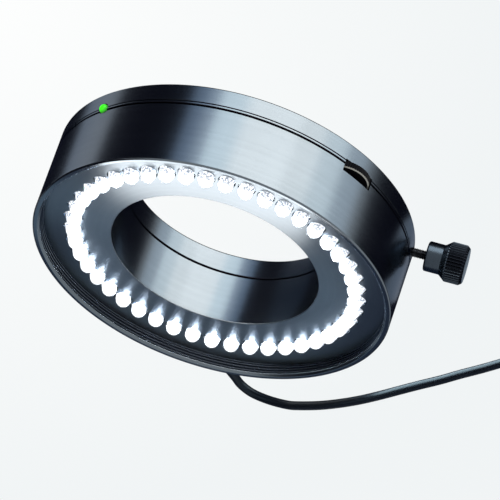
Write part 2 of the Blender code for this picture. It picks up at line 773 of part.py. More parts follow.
def make_screws():
    """Countersunk cover screws with a hexagon socket, and pan-head screws in both boards."""
    for number, angle in enumerate(COVER_POST_ANGLES, start=1):
        top = RING_HEIGHT
        profile = [
            (0.0, top),
            (COVER_SCREW_HEAD, top),
            (COVER_SCREW_SHANK, top - COVER_SCREW_HEAD_HEIGHT),
            (COVER_SCREW_SHANK, top - COVER_SCREW_LENGTH),
            (0.0, top - COVER_SCREW_LENGTH),
        ]
        name = f"cover_screw_{number}"
        place = Matrix.Translation(polar(POST_CIRCLE, angle))
        screw = turned(name, profile, SCREW_SIDES, False, SCREW_BLACK, place)

        def socket(shape):
            low = RING_HEIGHT - COVER_SCREW_SOCKET_DEPTH
            top = RING_HEIGHT + OVERRUN
            put_cylinder(shape, COVER_SCREW_SOCKET, low, top, SOCKET_SIDES, polar(POST_CIRCLE, angle))

        cut(screw, add(f"socket_{number}", mesh_from(f"socket_{number}", socket)))
    rows = (
        ("board_screw", BOARD_POST_ANGLES, POST_CIRCLE, LED_BOARD_TOP),
        ("driver_screw", PILLAR_ANGLES, PILLAR_CIRCLE, DRIVER_TOP),
    )
    for family, angles, circle, surface in rows:
        seat = surface + CLEARANCE
        profile = [
            (0.0, seat + BOARD_SCREW_HEAD_HEIGHT),
            (BOARD_SCREW_HEAD, seat + BOARD_SCREW_HEAD_HEIGHT),
            (BOARD_SCREW_HEAD, seat),
            (BOARD_SCREW_SHANK, seat),
            (BOARD_SCREW_SHANK, seat - BOARD_SCREW_LENGTH),
            (0.0, seat - BOARD_SCREW_LENGTH),
        ]
        for number, angle in enumerate(angles, start=1):
            place = Matrix.Translation(polar(circle, angle))
            turned(f"{family}_{number}", profile, HOLE_SIDES, False, SCREW_STEEL, place)


def make_dimmer():
    """Potentiometer on the driver board, and the knurled thumbwheel on its shaft."""
    centre = polar(WHEEL_CIRCLE, WHEEL_ANGLE_DEG)
    pot_top = WHEEL_LOW - CLEARANCE
    hole_low = WHEEL_LOW - WHEEL_SHAFT_LENGTH - CLEARANCE

    def body(shape):
        put_cylinder(shape, POT_RADIUS, PART_LOW, pot_top, SCREW_SIDES, centre)

    def bearing(shape):
        radius = WHEEL_SHAFT_RADIUS + WHEEL_SHAFT_GAP
        put_cylinder(shape, radius, hole_low, pot_top + OVERRUN, SCREW_SIDES, centre)

    pot = add("dimmer_pot", mesh_from("dimmer_pot", body), POT_BLUE)
    cut(pot, add("pot_bearing", mesh_from("pot_bearing", bearing)))

    axis = bpy.data.objects.new("dimmer_axis", None)
    PARTS.objects.link(axis)
    axis.parent = bpy.data.objects["ring_axis"]
    axis.location = centre
    outline = star_outline(WHEEL_RADIUS, WHEEL_TOOTH_DEPTH, WHEEL_TEETH)
    grip = flat_mesh("dimmer_wheel", outline, WHEEL_LOW + WHEEL_LIP, WHEEL_TOP)
    wheel = add("dimmer_wheel", grip, WHEEL_GREY, parent=axis)

    def lip(shape):
        small = WHEEL_RADIUS - WHEEL_TOOTH_DEPTH - WHEEL_LIP
        large = WHEEL_RADIUS - WHEEL_TOOTH_DEPTH
        joint = WHEEL_LOW + WHEEL_LIP + PARTING_BREAK
        put_cylinder(shape, small, WHEEL_LOW, joint, 2 * SCREW_SIDES, top_radius=large)

    def shaft(shape):
        low = WHEEL_LOW - WHEEL_SHAFT_LENGTH
        put_cylinder(shape, WHEEL_SHAFT_RADIUS, low, WHEEL_LOW + PARTING_BREAK, SCREW_SIDES)

    join(
        wheel,
        add("wheel_lip", mesh_from("wheel_lip", lip), parent=axis),
        add("wheel_shaft", mesh_from("wheel_shaft", shaft), parent=axis),
    )


def make_status_led():
    """Green 3 mm LED that looks out through the wall, and its holder on the driver board."""
    length = STATUS_PROUD + STATUS_BODY
    tip = RING_RADIUS + STATUS_PROUD
    dome = [(0.0, tip)]
    for step in range(1, 4):
        angle = math.pi / 2.0 * step / 3.0
        dome.append((STATUS_RADIUS * math.sin(angle), tip - STATUS_RADIUS * (1.0 - math.cos(angle))))
    profile = dome + [(STATUS_RADIUS, tip - length), (0.0, tip - length)]
    place = radial(STATUS_ANGLE_DEG, STATUS_HEIGHT)
    turned("status_led", profile, SCREW_SIDES, False, STATUS_GREEN, place)

    half = HOLDER_WIDTH / 2.0
    low = (HOLDER_OUTER - HOLDER_DEPTH, -half, PART_LOW)
    high = (HOLDER_OUTER, half, STATUS_HEIGHT + STATUS_RADIUS + HOLDER_COLLAR)
    mesh = box_mesh("status_led_holder", low, high)
    holder = add("status_led_holder", mesh, BLACK_PLASTIC, around(STATUS_ANGLE_DEG))

    def hole(shape):
        start = tip - length - CLEARANCE
        radius = STATUS_RADIUS + STATUS_HOLE_GAP
        put_cylinder(shape, radius, start, HOLDER_OUTER + OVERRUN, SCREW_SIDES, turn=place)

    cut(holder, add("holder_hole", mesh_from("holder_hole", hole)))


def make_clamp():
    """Clamp screw with its non-turning tip and its knurled knob, all along +X."""
    carriage = bpy.data.objects.new("clamp_axis", None)
    PARTS.objects.link(carriage)
    carriage.parent = bpy.data.objects["ring_axis"]
    carriage.matrix_local = radial(0.0, CLAMP_HEIGHT)

    tip_end = TIP_START + TIP_LENGTH
    tip = [
        (0.0, tip_end),
        (CLAMP_RADIUS, tip_end),
        (CLAMP_RADIUS, TIP_START + TIP_ROUND),
        (CLAMP_RADIUS - TIP_ROUND, TIP_START),
        (0.0, TIP_START),
    ]
    turned("clamp_tip", tip, SCREW_SIDES, False, NYLON, parent=carriage)

    screw = [(0.0, SCREW_END), (CLAMP_RADIUS, SCREW_END)]
    turns = round(CLAMP_THREAD_RUN / CLAMP_PITCH)
    top = HUB_START + CLAMP_PITCH
    for turn in range(turns):
        crest = top - turn * CLAMP_PITCH
        screw.append((CLAMP_RADIUS, crest))
        screw.append((CLAMP_RADIUS - CLAMP_THREAD_DEPTH, crest - CLAMP_PITCH / 2.0))
    screw += [
        (CLAMP_RADIUS, top - turns * CLAMP_PITCH),
        (CLAMP_RADIUS, SCREW_START),
        (0.0, SCREW_START),
    ]
    turned("clamp_screw", screw, THREAD_SIDES, False, SCREW_STEEL, parent=carriage)

    core = KNOB_RADIUS - KNOB_TOOTH_DEPTH
    knob_profile = [
        (0.0, KNOB_END),
        (KNOB_RADIUS - KNOB_FACE_CHAMFER, KNOB_END),
        (core, GRIP_END),
        (core, GRIP_START),
        (HUB_RADIUS, KNOB_START),
        (HUB_RADIUS, HUB_START + HUB_EDGE),
        (HUB_RADIUS - HUB_EDGE, HUB_START),
        (0.0, HUB_START),
    ]
    knob = turned("clamp_knob", knob_profile, KNOB_SIDES, False, KNOB_BLACK, parent=carriage)
    outline = star_outline(KNOB_RADIUS, KNOB_TOOTH_DEPTH * 2.0, KNOB_TEETH)
    grip = flat_mesh("knob_grip", outline, GRIP_START, GRIP_END)

    def bore(shape):
        start = HUB_START - OVERRUN
        put_cylinder(shape, CLAMP_RADIUS + CLEARANCE, start, SCREW_END + CLEARANCE, SCREW_SIDES)

    join(knob, add("knob_grip", grip, parent=carriage))
    cut(knob, add("knob_bore", mesh_from("knob_bore", bore), parent=carriage))


def make_strain_relief():
    """Rubber strain relief snapped into the housing wall: inner flange, neck, collar and tapered boot."""
    inner_face = CHANNEL_OUTER - CLEARANCE
    outer_face = RING_RADIUS + CLEARANCE
    profile = [
        (0.0, outer_face + GLAND_BOOT_LENGTH),
        (GLAND_TIP_RADIUS, outer_face + GLAND_BOOT_LENGTH),
        (GLAND_BOOT_RADIUS, outer_face + GLAND_COLLAR),
        (GLAND_FLANGE, outer_face + GLAND_COLLAR),
        (GLAND_FLANGE, outer_face),
        (GLAND_NECK, outer_face),
        (GLAND_NECK, inner_face),
        (GLAND_FLANGE, inner_face),
        (GLAND_FLANGE, inner_face - GLAND_FLANGE_THICKNESS),
        (0.0, inner_face - GLAND_FLANGE_THICKNESS),
    ]
    place = radial(GLAND_ANGLE_DEG, GLAND_HEIGHT)
    turned("strain_relief", profile, SCREW_SIDES, False, RUBBER, place)


def make_supply_wires():
    """Two insulated wires from the strain relief round to the driver board's terminal."""
    start_circle = CHANNEL_OUTER - 2.0 * CLEARANCE - GLAND_FLANGE_THICKNESS
    end_height = PART_LOW + TERMINAL_HEIGHT / 2.0
    rise_share = 0.25
    end_angle = 360.0 + TERMINAL_ANGLE_DEG
    reach = math.degrees((TERMINAL_LENGTH / 2.0 + CLEARANCE) / DRIVER_MIDDLE)
    wires = (("supply_wire_red", 0.5, WIRE_RED), ("supply_wire_black", -0.5, WIRE_BLACK))
    for name, side, material in wires:
        start = polar(start_circle, GLAND_ANGLE_DEG, GLAND_HEIGHT)
        across = direction(GLAND_ANGLE_DEG + 90.0) * (side * WIRE_SPACING)
        first = start + across
        points = [first, first - direction(GLAND_ANGLE_DEG) * (WIRE_SPACING * (1.5 - side))]
        run = DRIVER_MIDDLE + side * WIRE_SPACING
        stretch = end_angle - reach - GLAND_ANGLE_DEG
        count = round(stretch / WIRE_STEP_DEG)
        for index in range(2, count + 1):
            share = index / count
            rise = min(1.0, share / rise_share)
            ease = rise * rise * (3.0 - 2.0 * rise)
            height = GLAND_HEIGHT + (end_height - GLAND_HEIGHT) * ease
            points.append(polar(run, GLAND_ANGLE_DEG + stretch * share, height))
        add(name, tube_mesh(name, points, WIRE_RADIUS, 1), material)


def smooth_route(points, step):
    """Read a smooth curve through the route's points at about an even step."""
    places = [Vector(point) for point in points]
    places.insert(0, places[0] * 2.0 - places[1])
    places.append(places[-1] * 2.0 - places[-2])
    read = []
    for index in range(1, len(places) - 2):
        before, here, there, after = places[index - 1:index + 3]
        count = max(1, round((there - here).length / step))
        for part in range(count):
            share = part / count
            read.append(0.5 * (
                2.0 * here
                + (there - before) * share
                + (2.0 * before - 5.0 * here + 4.0 * there - after) * share ** 2
                + (3.0 * here - before - 3.0 * there + after) * share ** 3
            ))
    read.append(places[-2])
    return read


def coil_frame():
    """Centre, first point and heading of the coil."""
    centre = Vector((*COIL_CENTRE, COIL_LOW))
    first = centre + direction(COIL_START_DEG) * COIL_OUTER
    heading = direction(COIL_START_DEG + 90.0)
    return centre, first, heading


def coil_points():
    """The put-away cord: a spiral in, a climb of one layer in the half turn at the middle, a spiral out."""
    centre, first, heading = coil_frame()
    points = [first - heading * (2.0 * CORD_RADIUS)]
    total = 2.0 * COIL_TURNS_A_LAYER
    count = round(total * COIL_POINTS_A_TURN)
    for index in range(count + 1):
        turn = total * index / count
        from_middle = turn - COIL_TURNS_A_LAYER
        radius = COIL_OUTER - COIL_PITCH * (COIL_TURNS_A_LAYER - abs(from_middle))
        climb = min(1.0, max(0.0, from_middle * 2.0 + 0.5))
        ease = climb * climb * (3.0 - 2.0 * climb)
        height = COIL_LOW + (COIL_HIGH - COIL_LOW) * ease
        spot = centre + direction(COIL_START_DEG + 360.0 * turn) * radius
        points.append(Vector((spot.x, spot.y, height)))
    reach = COIL_OUTER + PLUG_RADIUS + CORD_RADIUS + CLEARANCE
    run = math.sqrt(reach ** 2 - COIL_OUTER ** 2)
    leave = Vector((first.x, first.y, COIL_HIGH))
    steps = 4
    for index in range(1, steps + 1):
        share = index / steps
        drop = min(1.0, share * steps / (steps - 1))
        height = COIL_HIGH + (PLUG_RADIUS - COIL_HIGH) * drop
        spot = leave + heading * (run * share)
        points.append(Vector((spot.x, spot.y, height)))
    return points


def least_gap(points):
    """Least gap between stretches of the coil's tube that don't follow on from each other."""
    apart = COIL_POINTS_A_TURN // 2
    least = min(
        (points[a] - points[b]).length
        for a in range(len(points))
        for b in range(a + apart, len(points))
    )
    return least - 2.0 * CORD_RADIUS


def make_cord():
    """Free cord on the table, its coil put away beside the object, and its plug."""
    centre, first, heading = coil_frame()
    entry = first - heading * (2.0 * CORD_RADIUS + CLEARANCE)
    out = direction(GLAND_ANGLE_DEG)
    boot_end = RING_RADIUS + 2.0 * CLEARANCE + GLAND_BOOT_LENGTH
    leave = polar(boot_end, GLAND_ANGLE_DEG, GLAND_HEIGHT)
    straight = 2.0 * CORD_RADIUS
    route = [leave, leave + out * straight, *CORD_ROUTE, entry - heading * straight, entry]
    free = smooth_route(route, CORD_STEP)
    add("cord", tube_mesh("cord", free, CORD_RADIUS, 2), RUBBER)

    points = coil_points()
    add("cord_coil", tube_mesh("cord_coil", points, CORD_RADIUS, 1), RUBBER)
    steps = [b - a for line in (free, points) for a, b in zip(line, line[1:])]
    print("cord in metres", round(sum(step.length for step in steps), 3))
    print("coil's least gap to itself in millimetres", round(least_gap(points) * 1000.0, 2))

    place = Matrix.Translation(points[-1]) @ around(COIL_START_DEG + 90.0) @ radial(0.0, 0.0)
    start = CLEARANCE
    body_start = start + PLUG_BOOT_LENGTH
    body_end = body_start + PLUG_BODY_LENGTH
    socket = BARREL_RADIUS + CLEARANCE
    body = [
        (0.0, body_end - BARREL_DEPTH),
        (socket, body_end - BARREL_DEPTH),
        (socket, body_end),
        (PLUG_RADIUS - PLUG_EDGE, body_end),
        (PLUG_RADIUS, body_end - PLUG_EDGE),
        (PLUG_RADIUS, body_start + PLUG_EDGE),
        (PLUG_RADIUS - PLUG_EDGE, body_start),
        (PLUG_BOOT_RADIUS + PLUG_EDGE, body_start),
        (PLUG_BOOT_RADIUS, start),
        (0.0, start),
    ]
    turned("plug_body", body, SCREW_SIDES, False, BLACK_PLASTIC, place)
    barrel_start = body_end - BARREL_DEPTH + CLEARANCE
    barrel_end = body_end + BARREL_LENGTH
    barrel = [
        (BARREL_BORE, barrel_end),
        (BARREL_RADIUS, barrel_end),
        (BARREL_RADIUS, barrel_start),
        (0.0, barrel_start),
        (0.0, barrel_start + BARREL_DEPTH),
        (BARREL_BORE, barrel_start + BARREL_DEPTH),
        (BARREL_BORE, barrel_end),
    ]
    turned("plug_barrel", barrel, SCREW_SIDES, False, NICKEL, place)
    contact_radius = BARREL_BORE - CLEARANCE
    contact_start = barrel_start + BARREL_DEPTH + CLEARANCE
    contact_end = contact_start + CONTACT_LENGTH
    contact = [
        (0.0, contact_start + CONTACT_FLOOR),
        (CONTACT_BORE, contact_start + CONTACT_FLOOR),
        (CONTACT_BORE, contact_end),
        (contact_radius, contact_end),
        (contact_radius, contact_start),
        (0.0, contact_start),
    ]
    turned("plug_contact", contact, HOLE_SIDES, False, BLACK_PLASTIC, place)


BLACK_ALUMINIUM = finish("black_anodised_aluminium", (0.030, 0.032, 0.040), 0.32, 0.6)
LED_CLEAR = finish("clear_led_resin", (0.90, 0.92, 0.95), 0.12)
BOARD_GREEN = finish("green_board", (0.03, 0.16, 0.07), 0.5)
BLACK_PLASTIC = finish("black_plastic", (0.015, 0.015, 0.017), 0.45)
CHIP_BLACK = finish("chip_black", (0.02, 0.02, 0.02), 0.55)
FERRITE = finish("ferrite_grey", (0.10, 0.10, 0.11), 0.7)
TERMINAL_WHITE = finish("terminal_white", (0.75, 0.74, 0.70), 0.5)
BARE_ALUMINIUM = finish("bare_aluminium", (0.78, 0.79, 0.80), 0.3, 1.0)
SCREW_BLACK = finish("blackened_steel", (0.04, 0.04, 0.045), 0.35, 0.8)
SCREW_STEEL = finish("zinc_steel", (0.45, 0.45, 0.47), 0.35, 1.0)
POT_BLUE = finish("potentiometer_blue", (0.03, 0.09, 0.30), 0.45)
WHEEL_GREY = finish("wheel_grey_plastic", (0.10, 0.10, 0.11), 0.45)
STATUS_GREEN = finish("green_led_resin", (0.10, 0.80, 0.08), 0.15)
NYLON = finish("nylon_natural", (0.82, 0.80, 0.74), 0.5)
KNOB_BLACK = finish("knob_black_aluminium", (0.035, 0.037, 0.045), 0.35, 0.5)
RUBBER = finish("cord_rubber", (0.035, 0.037, 0.043), 0.45)
WIRE_RED = finish("wire_red", (0.45, 0.03, 0.03), 0.5)
WIRE_BLACK = finish("wire_black", (0.02, 0.02, 0.02), 0.5)
NICKEL = finish("nickel", (0.70, 0.69, 0.66), 0.25, 1.0)

clear_scene()
HOUSING = make_housing()
COVER = make_cover()
make_wall_openings(HOUSING, COVER)
make_led_banks()
make_boards()
make_board_parts()
make_screws()
make_dimmer()
make_status_led()
make_clamp()
make_strain_relief()
make_supply_wires()
make_cord()
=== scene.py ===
import math

import bmesh
import bpy
import numpy as np
from mathutils import Matrix, Vector


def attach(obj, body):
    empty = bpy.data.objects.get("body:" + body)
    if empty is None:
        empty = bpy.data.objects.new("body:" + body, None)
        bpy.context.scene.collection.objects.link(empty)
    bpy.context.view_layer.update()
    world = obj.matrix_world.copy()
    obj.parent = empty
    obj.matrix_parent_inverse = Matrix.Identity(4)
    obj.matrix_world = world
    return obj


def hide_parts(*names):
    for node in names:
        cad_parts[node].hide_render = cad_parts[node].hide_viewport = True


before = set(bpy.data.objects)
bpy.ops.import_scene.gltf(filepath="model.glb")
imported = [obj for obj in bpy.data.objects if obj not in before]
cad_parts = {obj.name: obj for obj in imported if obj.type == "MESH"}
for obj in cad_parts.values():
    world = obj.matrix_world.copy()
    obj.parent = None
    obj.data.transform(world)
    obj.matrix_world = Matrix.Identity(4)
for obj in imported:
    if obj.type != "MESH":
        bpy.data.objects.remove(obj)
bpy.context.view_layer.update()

# Camera. It hangs below the light and looks up at the lamps, rolled a little about its own axis,
# with a long lens from about 1.75 m away.
RIGHT = Vector((0.9595, -0.03825, 0.27909)).normalized()
FORWARD = Vector((-0.11869, 0.8436, 0.52369)).normalized()
RIGHT = (RIGHT - FORWARD * RIGHT.dot(FORWARD)).normalized()
UP = RIGHT.cross(FORWARD)
camera = bpy.data.objects.new("camera", bpy.data.cameras.new("camera"))
camera.data.sensor_width = 36.0
camera.data.lens = 414.288
camera.data.clip_start = 0.05
camera.data.clip_end = 50.0
camera.matrix_world = Matrix((
    (RIGHT.x, UP.x, -FORWARD.x, 0.20961),
    (RIGHT.y, UP.y, -FORWARD.y, -1.4844),
    (RIGHT.z, UP.z, -FORWARD.z, -0.9102),
    (0.0, 0.0, 0.0, 1.0),
))
bpy.context.scene.collection.objects.link(camera)
bpy.context.scene.camera = camera
bpy.context.scene.view_settings.view_transform = "Standard"


# Power cord: 3 mm round cord in black rubber, from the moulded strain relief in the housing's wall,
# across the table and into a flat coil of eleven loops, wound inwards and out again on two layers.
AXIS_X = -0.0085
RING_RADIUS = 0.057
CORD_RADIUS = 0.0015
GLAND_ANGLE = math.radians(88.0)
GLAND_HEIGHT = 0.014
BOOT_END = 0.0666
COIL_CENTRE = np.array((0.1235, 0.0165))
COIL_START = math.radians(227.8)
COIL_OUTER = 0.0275
COIL_PITCH = 0.00345
LAYER_TURNS = 5.5
PLUG_RADIUS = 0.00495
CORD_GAP = 0.0003
CORD_CLEARANCE = 0.00006
SEAM_GAP = 2e-6
NO_LENGTH = 1e-7
SMOOTH_DEG = 32.0
CORD_ROUTE = np.array((
    (0.0036, 0.0746, 0.0137), (0.0068, 0.0795, 0.0134), (0.0092, 0.0825, 0.0129),
    (0.0132, 0.0842, 0.0120), (0.0191, 0.0830, 0.0104), (0.0256, 0.0795, 0.0084),
    (0.0300, 0.0756, 0.0070), (0.0368, 0.0689, 0.0051), (0.0434, 0.0619, 0.0036),
    (0.0498, 0.0549, 0.0025), (0.0561, 0.0478, 0.0018), (0.0622, 0.0411, 0.0015),
    (0.0682, 0.0350, 0.0015), (0.0742, 0.0291, 0.0015), (0.0802, 0.0227, 0.0015),
    (0.0861, 0.0167, 0.0015), (0.0916, 0.0108, 0.0015), (0.0973, 0.0043, 0.0015),
))


def heading(angle):
    """Unit vector in the table's plane at an angle from +X."""
    return np.array((math.cos(angle), math.sin(angle), 0.0))


def smooth_route(points, parts):
    """Catmull-Rom curve through the points: each stretch is the cubic whose ends lie on two points and
    whose slopes there are half the chord between the neighbours, read at even shares of the stretch."""
    ends = (2.0 * points[0] - points[1], 2.0 * points[-1] - points[-2])
    full = np.vstack((ends[0], points, ends[1]))
    before, here, there, after = full[:-3], full[1:-2], full[2:-1], full[3:]
    share = (np.arange(parts) / parts)[None, :, None]
    before, here, there, after = (side[:, None, :] for side in (before, here, there, after))
    curve = 0.5 * (
        2.0 * here
        + (there - before) * share
        + (2.0 * before - 5.0 * here + 4.0 * there - after) * share ** 2
        + (3.0 * here - before - 3.0 * there + after) * share ** 3
    )
    return np.vstack((curve.reshape(-1, 3), points[-1]))


def coil_route(per_turn):
    """Spiral: radius falls one pitch a turn for 5.5 turns, the height climbs one layer round the middle,
    and the radius grows again. A straight lead then runs to the height of the plug's axis."""
    turn = np.linspace(0.0, 2.0 * LAYER_TURNS, round(2.0 * LAYER_TURNS * per_turn) + 1)
    from_middle = turn - LAYER_TURNS
    radius = COIL_OUTER - COIL_PITCH * (LAYER_TURNS - np.abs(from_middle))
    climb = np.clip(from_middle * 2.0 + 0.5, 0.0, 1.0)
    height = CORD_RADIUS + COIL_PITCH * climb * climb * (3.0 - 2.0 * climb)
    angle = COIL_START + 2.0 * math.pi * turn
    spiral = np.stack((
        COIL_CENTRE[0] + radius * np.cos(angle),
        COIL_CENTRE[1] + radius * np.sin(angle),
        height,
    ), axis=1)
    reach = COIL_OUTER + PLUG_RADIUS + CORD_RADIUS + CORD_GAP
    run = math.sqrt(reach ** 2 - COIL_OUTER ** 2)
    along = heading(COIL_START + math.pi / 2.0)
    share = np.arange(1, 9) / 8.0
    drop = np.minimum(1.0, share * 4.0 / 3.0)
    lead = spiral[0] + along * (run * share)[:, None]
    lead[:, 2] = CORD_RADIUS + COIL_PITCH + (PLUG_RADIUS - CORD_RADIUS - COIL_PITCH) * drop
    return np.vstack((spiral, lead))


def soften(mesh, smooth_deg):
    """Smooth shading, with an edge kept sharp where its faces meet at more than an angle."""
    mesh.polygons.foreach_set("use_smooth", [True] * len(mesh.polygons))
    mesh.set_sharp_from_angle(angle=math.radians(smooth_deg))


def put_mesh(name, points, faces, smooth_deg=SMOOTH_DEG, uv=None):
    """Make an object from points in the ring's own frame, whose axis stands at AXIS_X, and faces. Its seams
    and poles are merged, and it is smooth up to an angle."""
    mesh = bpy.data.meshes.new(name)
    mesh.from_pydata((points + (AXIS_X, 0.0, 0.0)).tolist(), [], faces)
    if uv is not None:
        layer = mesh.uv_layers.new(name="UVMap")
        layer.data.foreach_set("uv", np.ascontiguousarray(uv, dtype=np.float32).ravel())
    shape = bmesh.new()
    shape.from_mesh(mesh)
    bmesh.ops.remove_doubles(shape, verts=shape.verts, dist=SEAM_GAP)
    bmesh.ops.dissolve_degenerate(shape, edges=shape.edges, dist=NO_LENGTH)
    shape.to_mesh(mesh)
    shape.free()
    soften(mesh, smooth_deg)
    made = bpy.data.objects.new(name, mesh)
    bpy.context.scene.collection.objects.link(made)
    return made


def grid_faces(rows, columns):
    """Quads between each row of a grid and the next, wound so that rows x columns points outwards."""
    row, column = np.meshgrid(np.arange(rows - 1), np.arange(columns - 1), indexing="ij")
    first = (row * columns + column).ravel()
    return np.stack((first, first + 1, first + columns + 1, first + columns), axis=1)


def grid_uv(u, v):
    """UV of each face's four corners in grid_faces, from one u for each row and one v for each column."""
    row, column = np.meshgrid(np.arange(len(u) - 1), np.arange(len(v) - 1), indexing="ij")
    row, column = row.ravel(), column.ravel()
    corners = ((row, column), (row, column + 1), (row + 1, column + 1), (row + 1, column))
    return np.stack([np.stack((u[r], v[c]), axis=1) for r, c in corners], axis=1)


def tube(name, path, radius, sides):
    """Round tube: P(s, a) = C(s) + r (cos a * side + sin a * up), where side is level and square to the
    path and up is square to both. The two ends draw in to a point on the path."""
    tangent = np.gradient(path, axis=0)
    tangent /= np.linalg.norm(tangent, axis=1)[:, None]
    side = np.cross(tangent, (0.0, 0.0, 1.0))
    side /= np.linalg.norm(side, axis=1)[:, None]
    up = np.cross(side, tangent)
    angle = np.linspace(0.0, 2.0 * math.pi, sides + 1)
    angle[-1] = 0.0
    across = np.cos(angle)[None, :, None] * side[:, None, :] + np.sin(angle)[None, :, None] * up[:, None, :]
    rings = path[:, None, :] + radius * across
    rings = np.concatenate((
        np.repeat(path[:1, None, :], sides + 1, axis=1),
        rings,
        np.repeat(path[-1:, None, :], sides + 1, axis=1),
    ))
    count = len(rings)
    length = np.linalg.norm(np.diff(path, axis=0), axis=1).sum()
    girth = 2.0 * math.pi * radius
    faces = grid_faces(count, sides + 1)[:, ::-1]
    uv = grid_uv(np.linspace(0.0, length, count), np.linspace(0.0, girth, sides + 1))[:, ::-1]
    return put_mesh(name, rings.reshape(-1, 3), faces.tolist(), 50.0, uv)


class Socket:
    """A shader socket that takes part in sums: +, - and * add Math nodes, with numbers on either side."""

    def __init__(self, tree, link):
        self.tree = tree
        self.link = link

    def math(self, operation, *values):
        return self.tree.make("ShaderNodeMath", {"operation": operation}, dict(enumerate(values)))

    def __add__(self, other):
        return self.math("ADD", self, other)

    def __sub__(self, other):
        return self.math("SUBTRACT", self, other)

    def __mul__(self, other):
        return self.math("MULTIPLY", self, other)

    def __rsub__(self, other):
        return self.math("SUBTRACT", other, self)

    __radd__ = __add__
    __rmul__ = __mul__

    def between(self, low, high):
        """0 below low, 1 above high, a smooth step in between."""
        settings = {"clamp": True, "interpolation_type": "SMOOTHSTEP"}
        values = {"Value": self, "From Min": low, "From Max": high}
        return self.tree.make("ShaderNodeMapRange", settings, values)


class Finish:
    """A material whose nodes come from one method, make(type, settings, sockets)."""

    def __init__(self, name):
        self.material = bpy.data.materials.new(name)
        self.material.use_nodes = True
        self.nodes = self.material.node_tree.nodes
        self.links = self.material.node_tree.links
        self.shader = self.nodes["Principled BSDF"]

    def make(self, kind, settings=None, sockets=None, output=0):
        node = self.nodes.new(kind)
        for key, value in (settings or {}).items():
            setattr(node, key, value)
        for key, value in (sockets or {}).items():
            self.feed(node.inputs[key], value)
        return Socket(self, node.outputs[output])

    def feed(self, socket, value):
        if isinstance(value, Socket):
            self.links.new(value.link, socket)
        elif isinstance(value, tuple) and len(value) == 3 and socket.type == "RGBA":
            socket.default_value = (*value, 1.0)
        else:
            socket.default_value = value

    def set(self, **values):
        """Feed the Principled shader's sockets, named with underscores for spaces."""
        for key, value in values.items():
            self.feed(self.shader.inputs[key.replace("_", " ")], value)

    def place(self, centre=(0.0, 0.0, 0.0), source="Object"):
        """Object coordinates or UV, moved so that centre is the origin."""
        start = Socket(self, self.make("ShaderNodeTexCoord").link.node.outputs[source])
        location = tuple(-c for c in centre)
        return self.make("ShaderNodeMapping", None, {"Vector": start, "Location": location})

    def noise(self, vector, scale, detail=2.0, roughness=0.5):
        values = {"Vector": vector, "Scale": scale, "Detail": detail, "Roughness": roughness}
        return self.make("ShaderNodeTexNoise", None, values)

    def mix(self, factor, first, second):
        """Colour between first and second."""
        made = self.make("ShaderNodeMix", {"data_type": "RGBA"})
        node = made.link.node
        self.feed(node.inputs[0], factor)
        self.feed(node.inputs[6], first)
        self.feed(node.inputs[7], second)
        return Socket(self, node.outputs[2])

    def bump(self, height, strength, distance):
        values = {"Height": height, "Strength": strength, "Distance": distance}
        return self.make("ShaderNodeBump", None, values)


gland_out = heading(GLAND_ANGLE)
leave = gland_out * BOOT_END + (0.0, 0.0, GLAND_HEIGHT)
coil_start = np.array((*COIL_CENTRE, CORD_RADIUS)) + heading(COIL_START) * COIL_OUTER
coil_heading = heading(COIL_START + math.pi / 2.0)
entry = coil_start - coil_heading * (2.0 * CORD_RADIUS)
straight = 2.0 * CORD_RADIUS
route = np.vstack((leave, leave + gland_out * straight, CORD_ROUTE, entry - coil_heading * straight, entry))
cord_path = np.vstack((smooth_route(route, 8), coil_route(72.0)))
rubber = Finish("cord_rubber")
grain = rubber.noise(rubber.place(), 900.0, 3.0)
rubber.set(
    Base_Color=rubber.mix(grain, (0.005, 0.007, 0.012), (0.010, 0.013, 0.020)),
    Roughness=0.26 + 0.10 * rubber.noise(rubber.place(), 160.0),
    Specular_IOR_Level=0.22,
    Specular_Tint=(0.70, 0.88, 1.0),
    Normal=rubber.bump(grain, 0.25, 0.0001),
)
cord = tube("power_cord", cord_path, CORD_RADIUS - CORD_CLEARANCE, 20)
cord.data.materials.append(rubber.material)
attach(cord, "ring")
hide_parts("cord", "cord_coil")


# Strain relief: one moulding in the cord's own rubber, snapped into the housing's wall. Flange inside,
# neck in the hole, collar outside, then a tapered boot with five flexing grooves.
BOOT_START = RING_RADIUS + 0.0003
BOOT_LENGTH = 0.009
WALL_INSIDE = 0.0547
FLANGE_RADIUS = 0.0036
NECK_RADIUS = 0.0026
RIB_STEP = 0.0014


def rounded(corners, reach, parts=3, closed=False):
    """Profile with its corners rounded: each corner B becomes the curve (1-t)^2 A + 2t(1-t) B + t^2 C,
    where A and C lie on the two edges, at most `reach` and 0.45 of the edge away."""
    points = np.asarray(corners, dtype=float)
    into = np.roll(points, 1, axis=0) - points
    out = np.roll(points, -1, axis=0) - points
    into_length = np.linalg.norm(into, axis=1)[:, None]
    out_length = np.linalg.norm(out, axis=1)[:, None]
    near = points + into / into_length * np.minimum(reach, 0.45 * into_length)
    far = points + out / out_length * np.minimum(reach, 0.45 * out_length)
    t = np.linspace(0.0, 1.0, parts + 1)[None, :, None]
    near, middle, far = near[:, None, :], points[:, None, :], far[:, None, :]
    curve = (1.0 - t) ** 2 * near + 2.0 * t * (1.0 - t) * middle + t ** 2 * far
    if not closed:
        curve[0] = points[0]
        curve[-1] = points[-1]
    return curve.reshape(-1, 2)


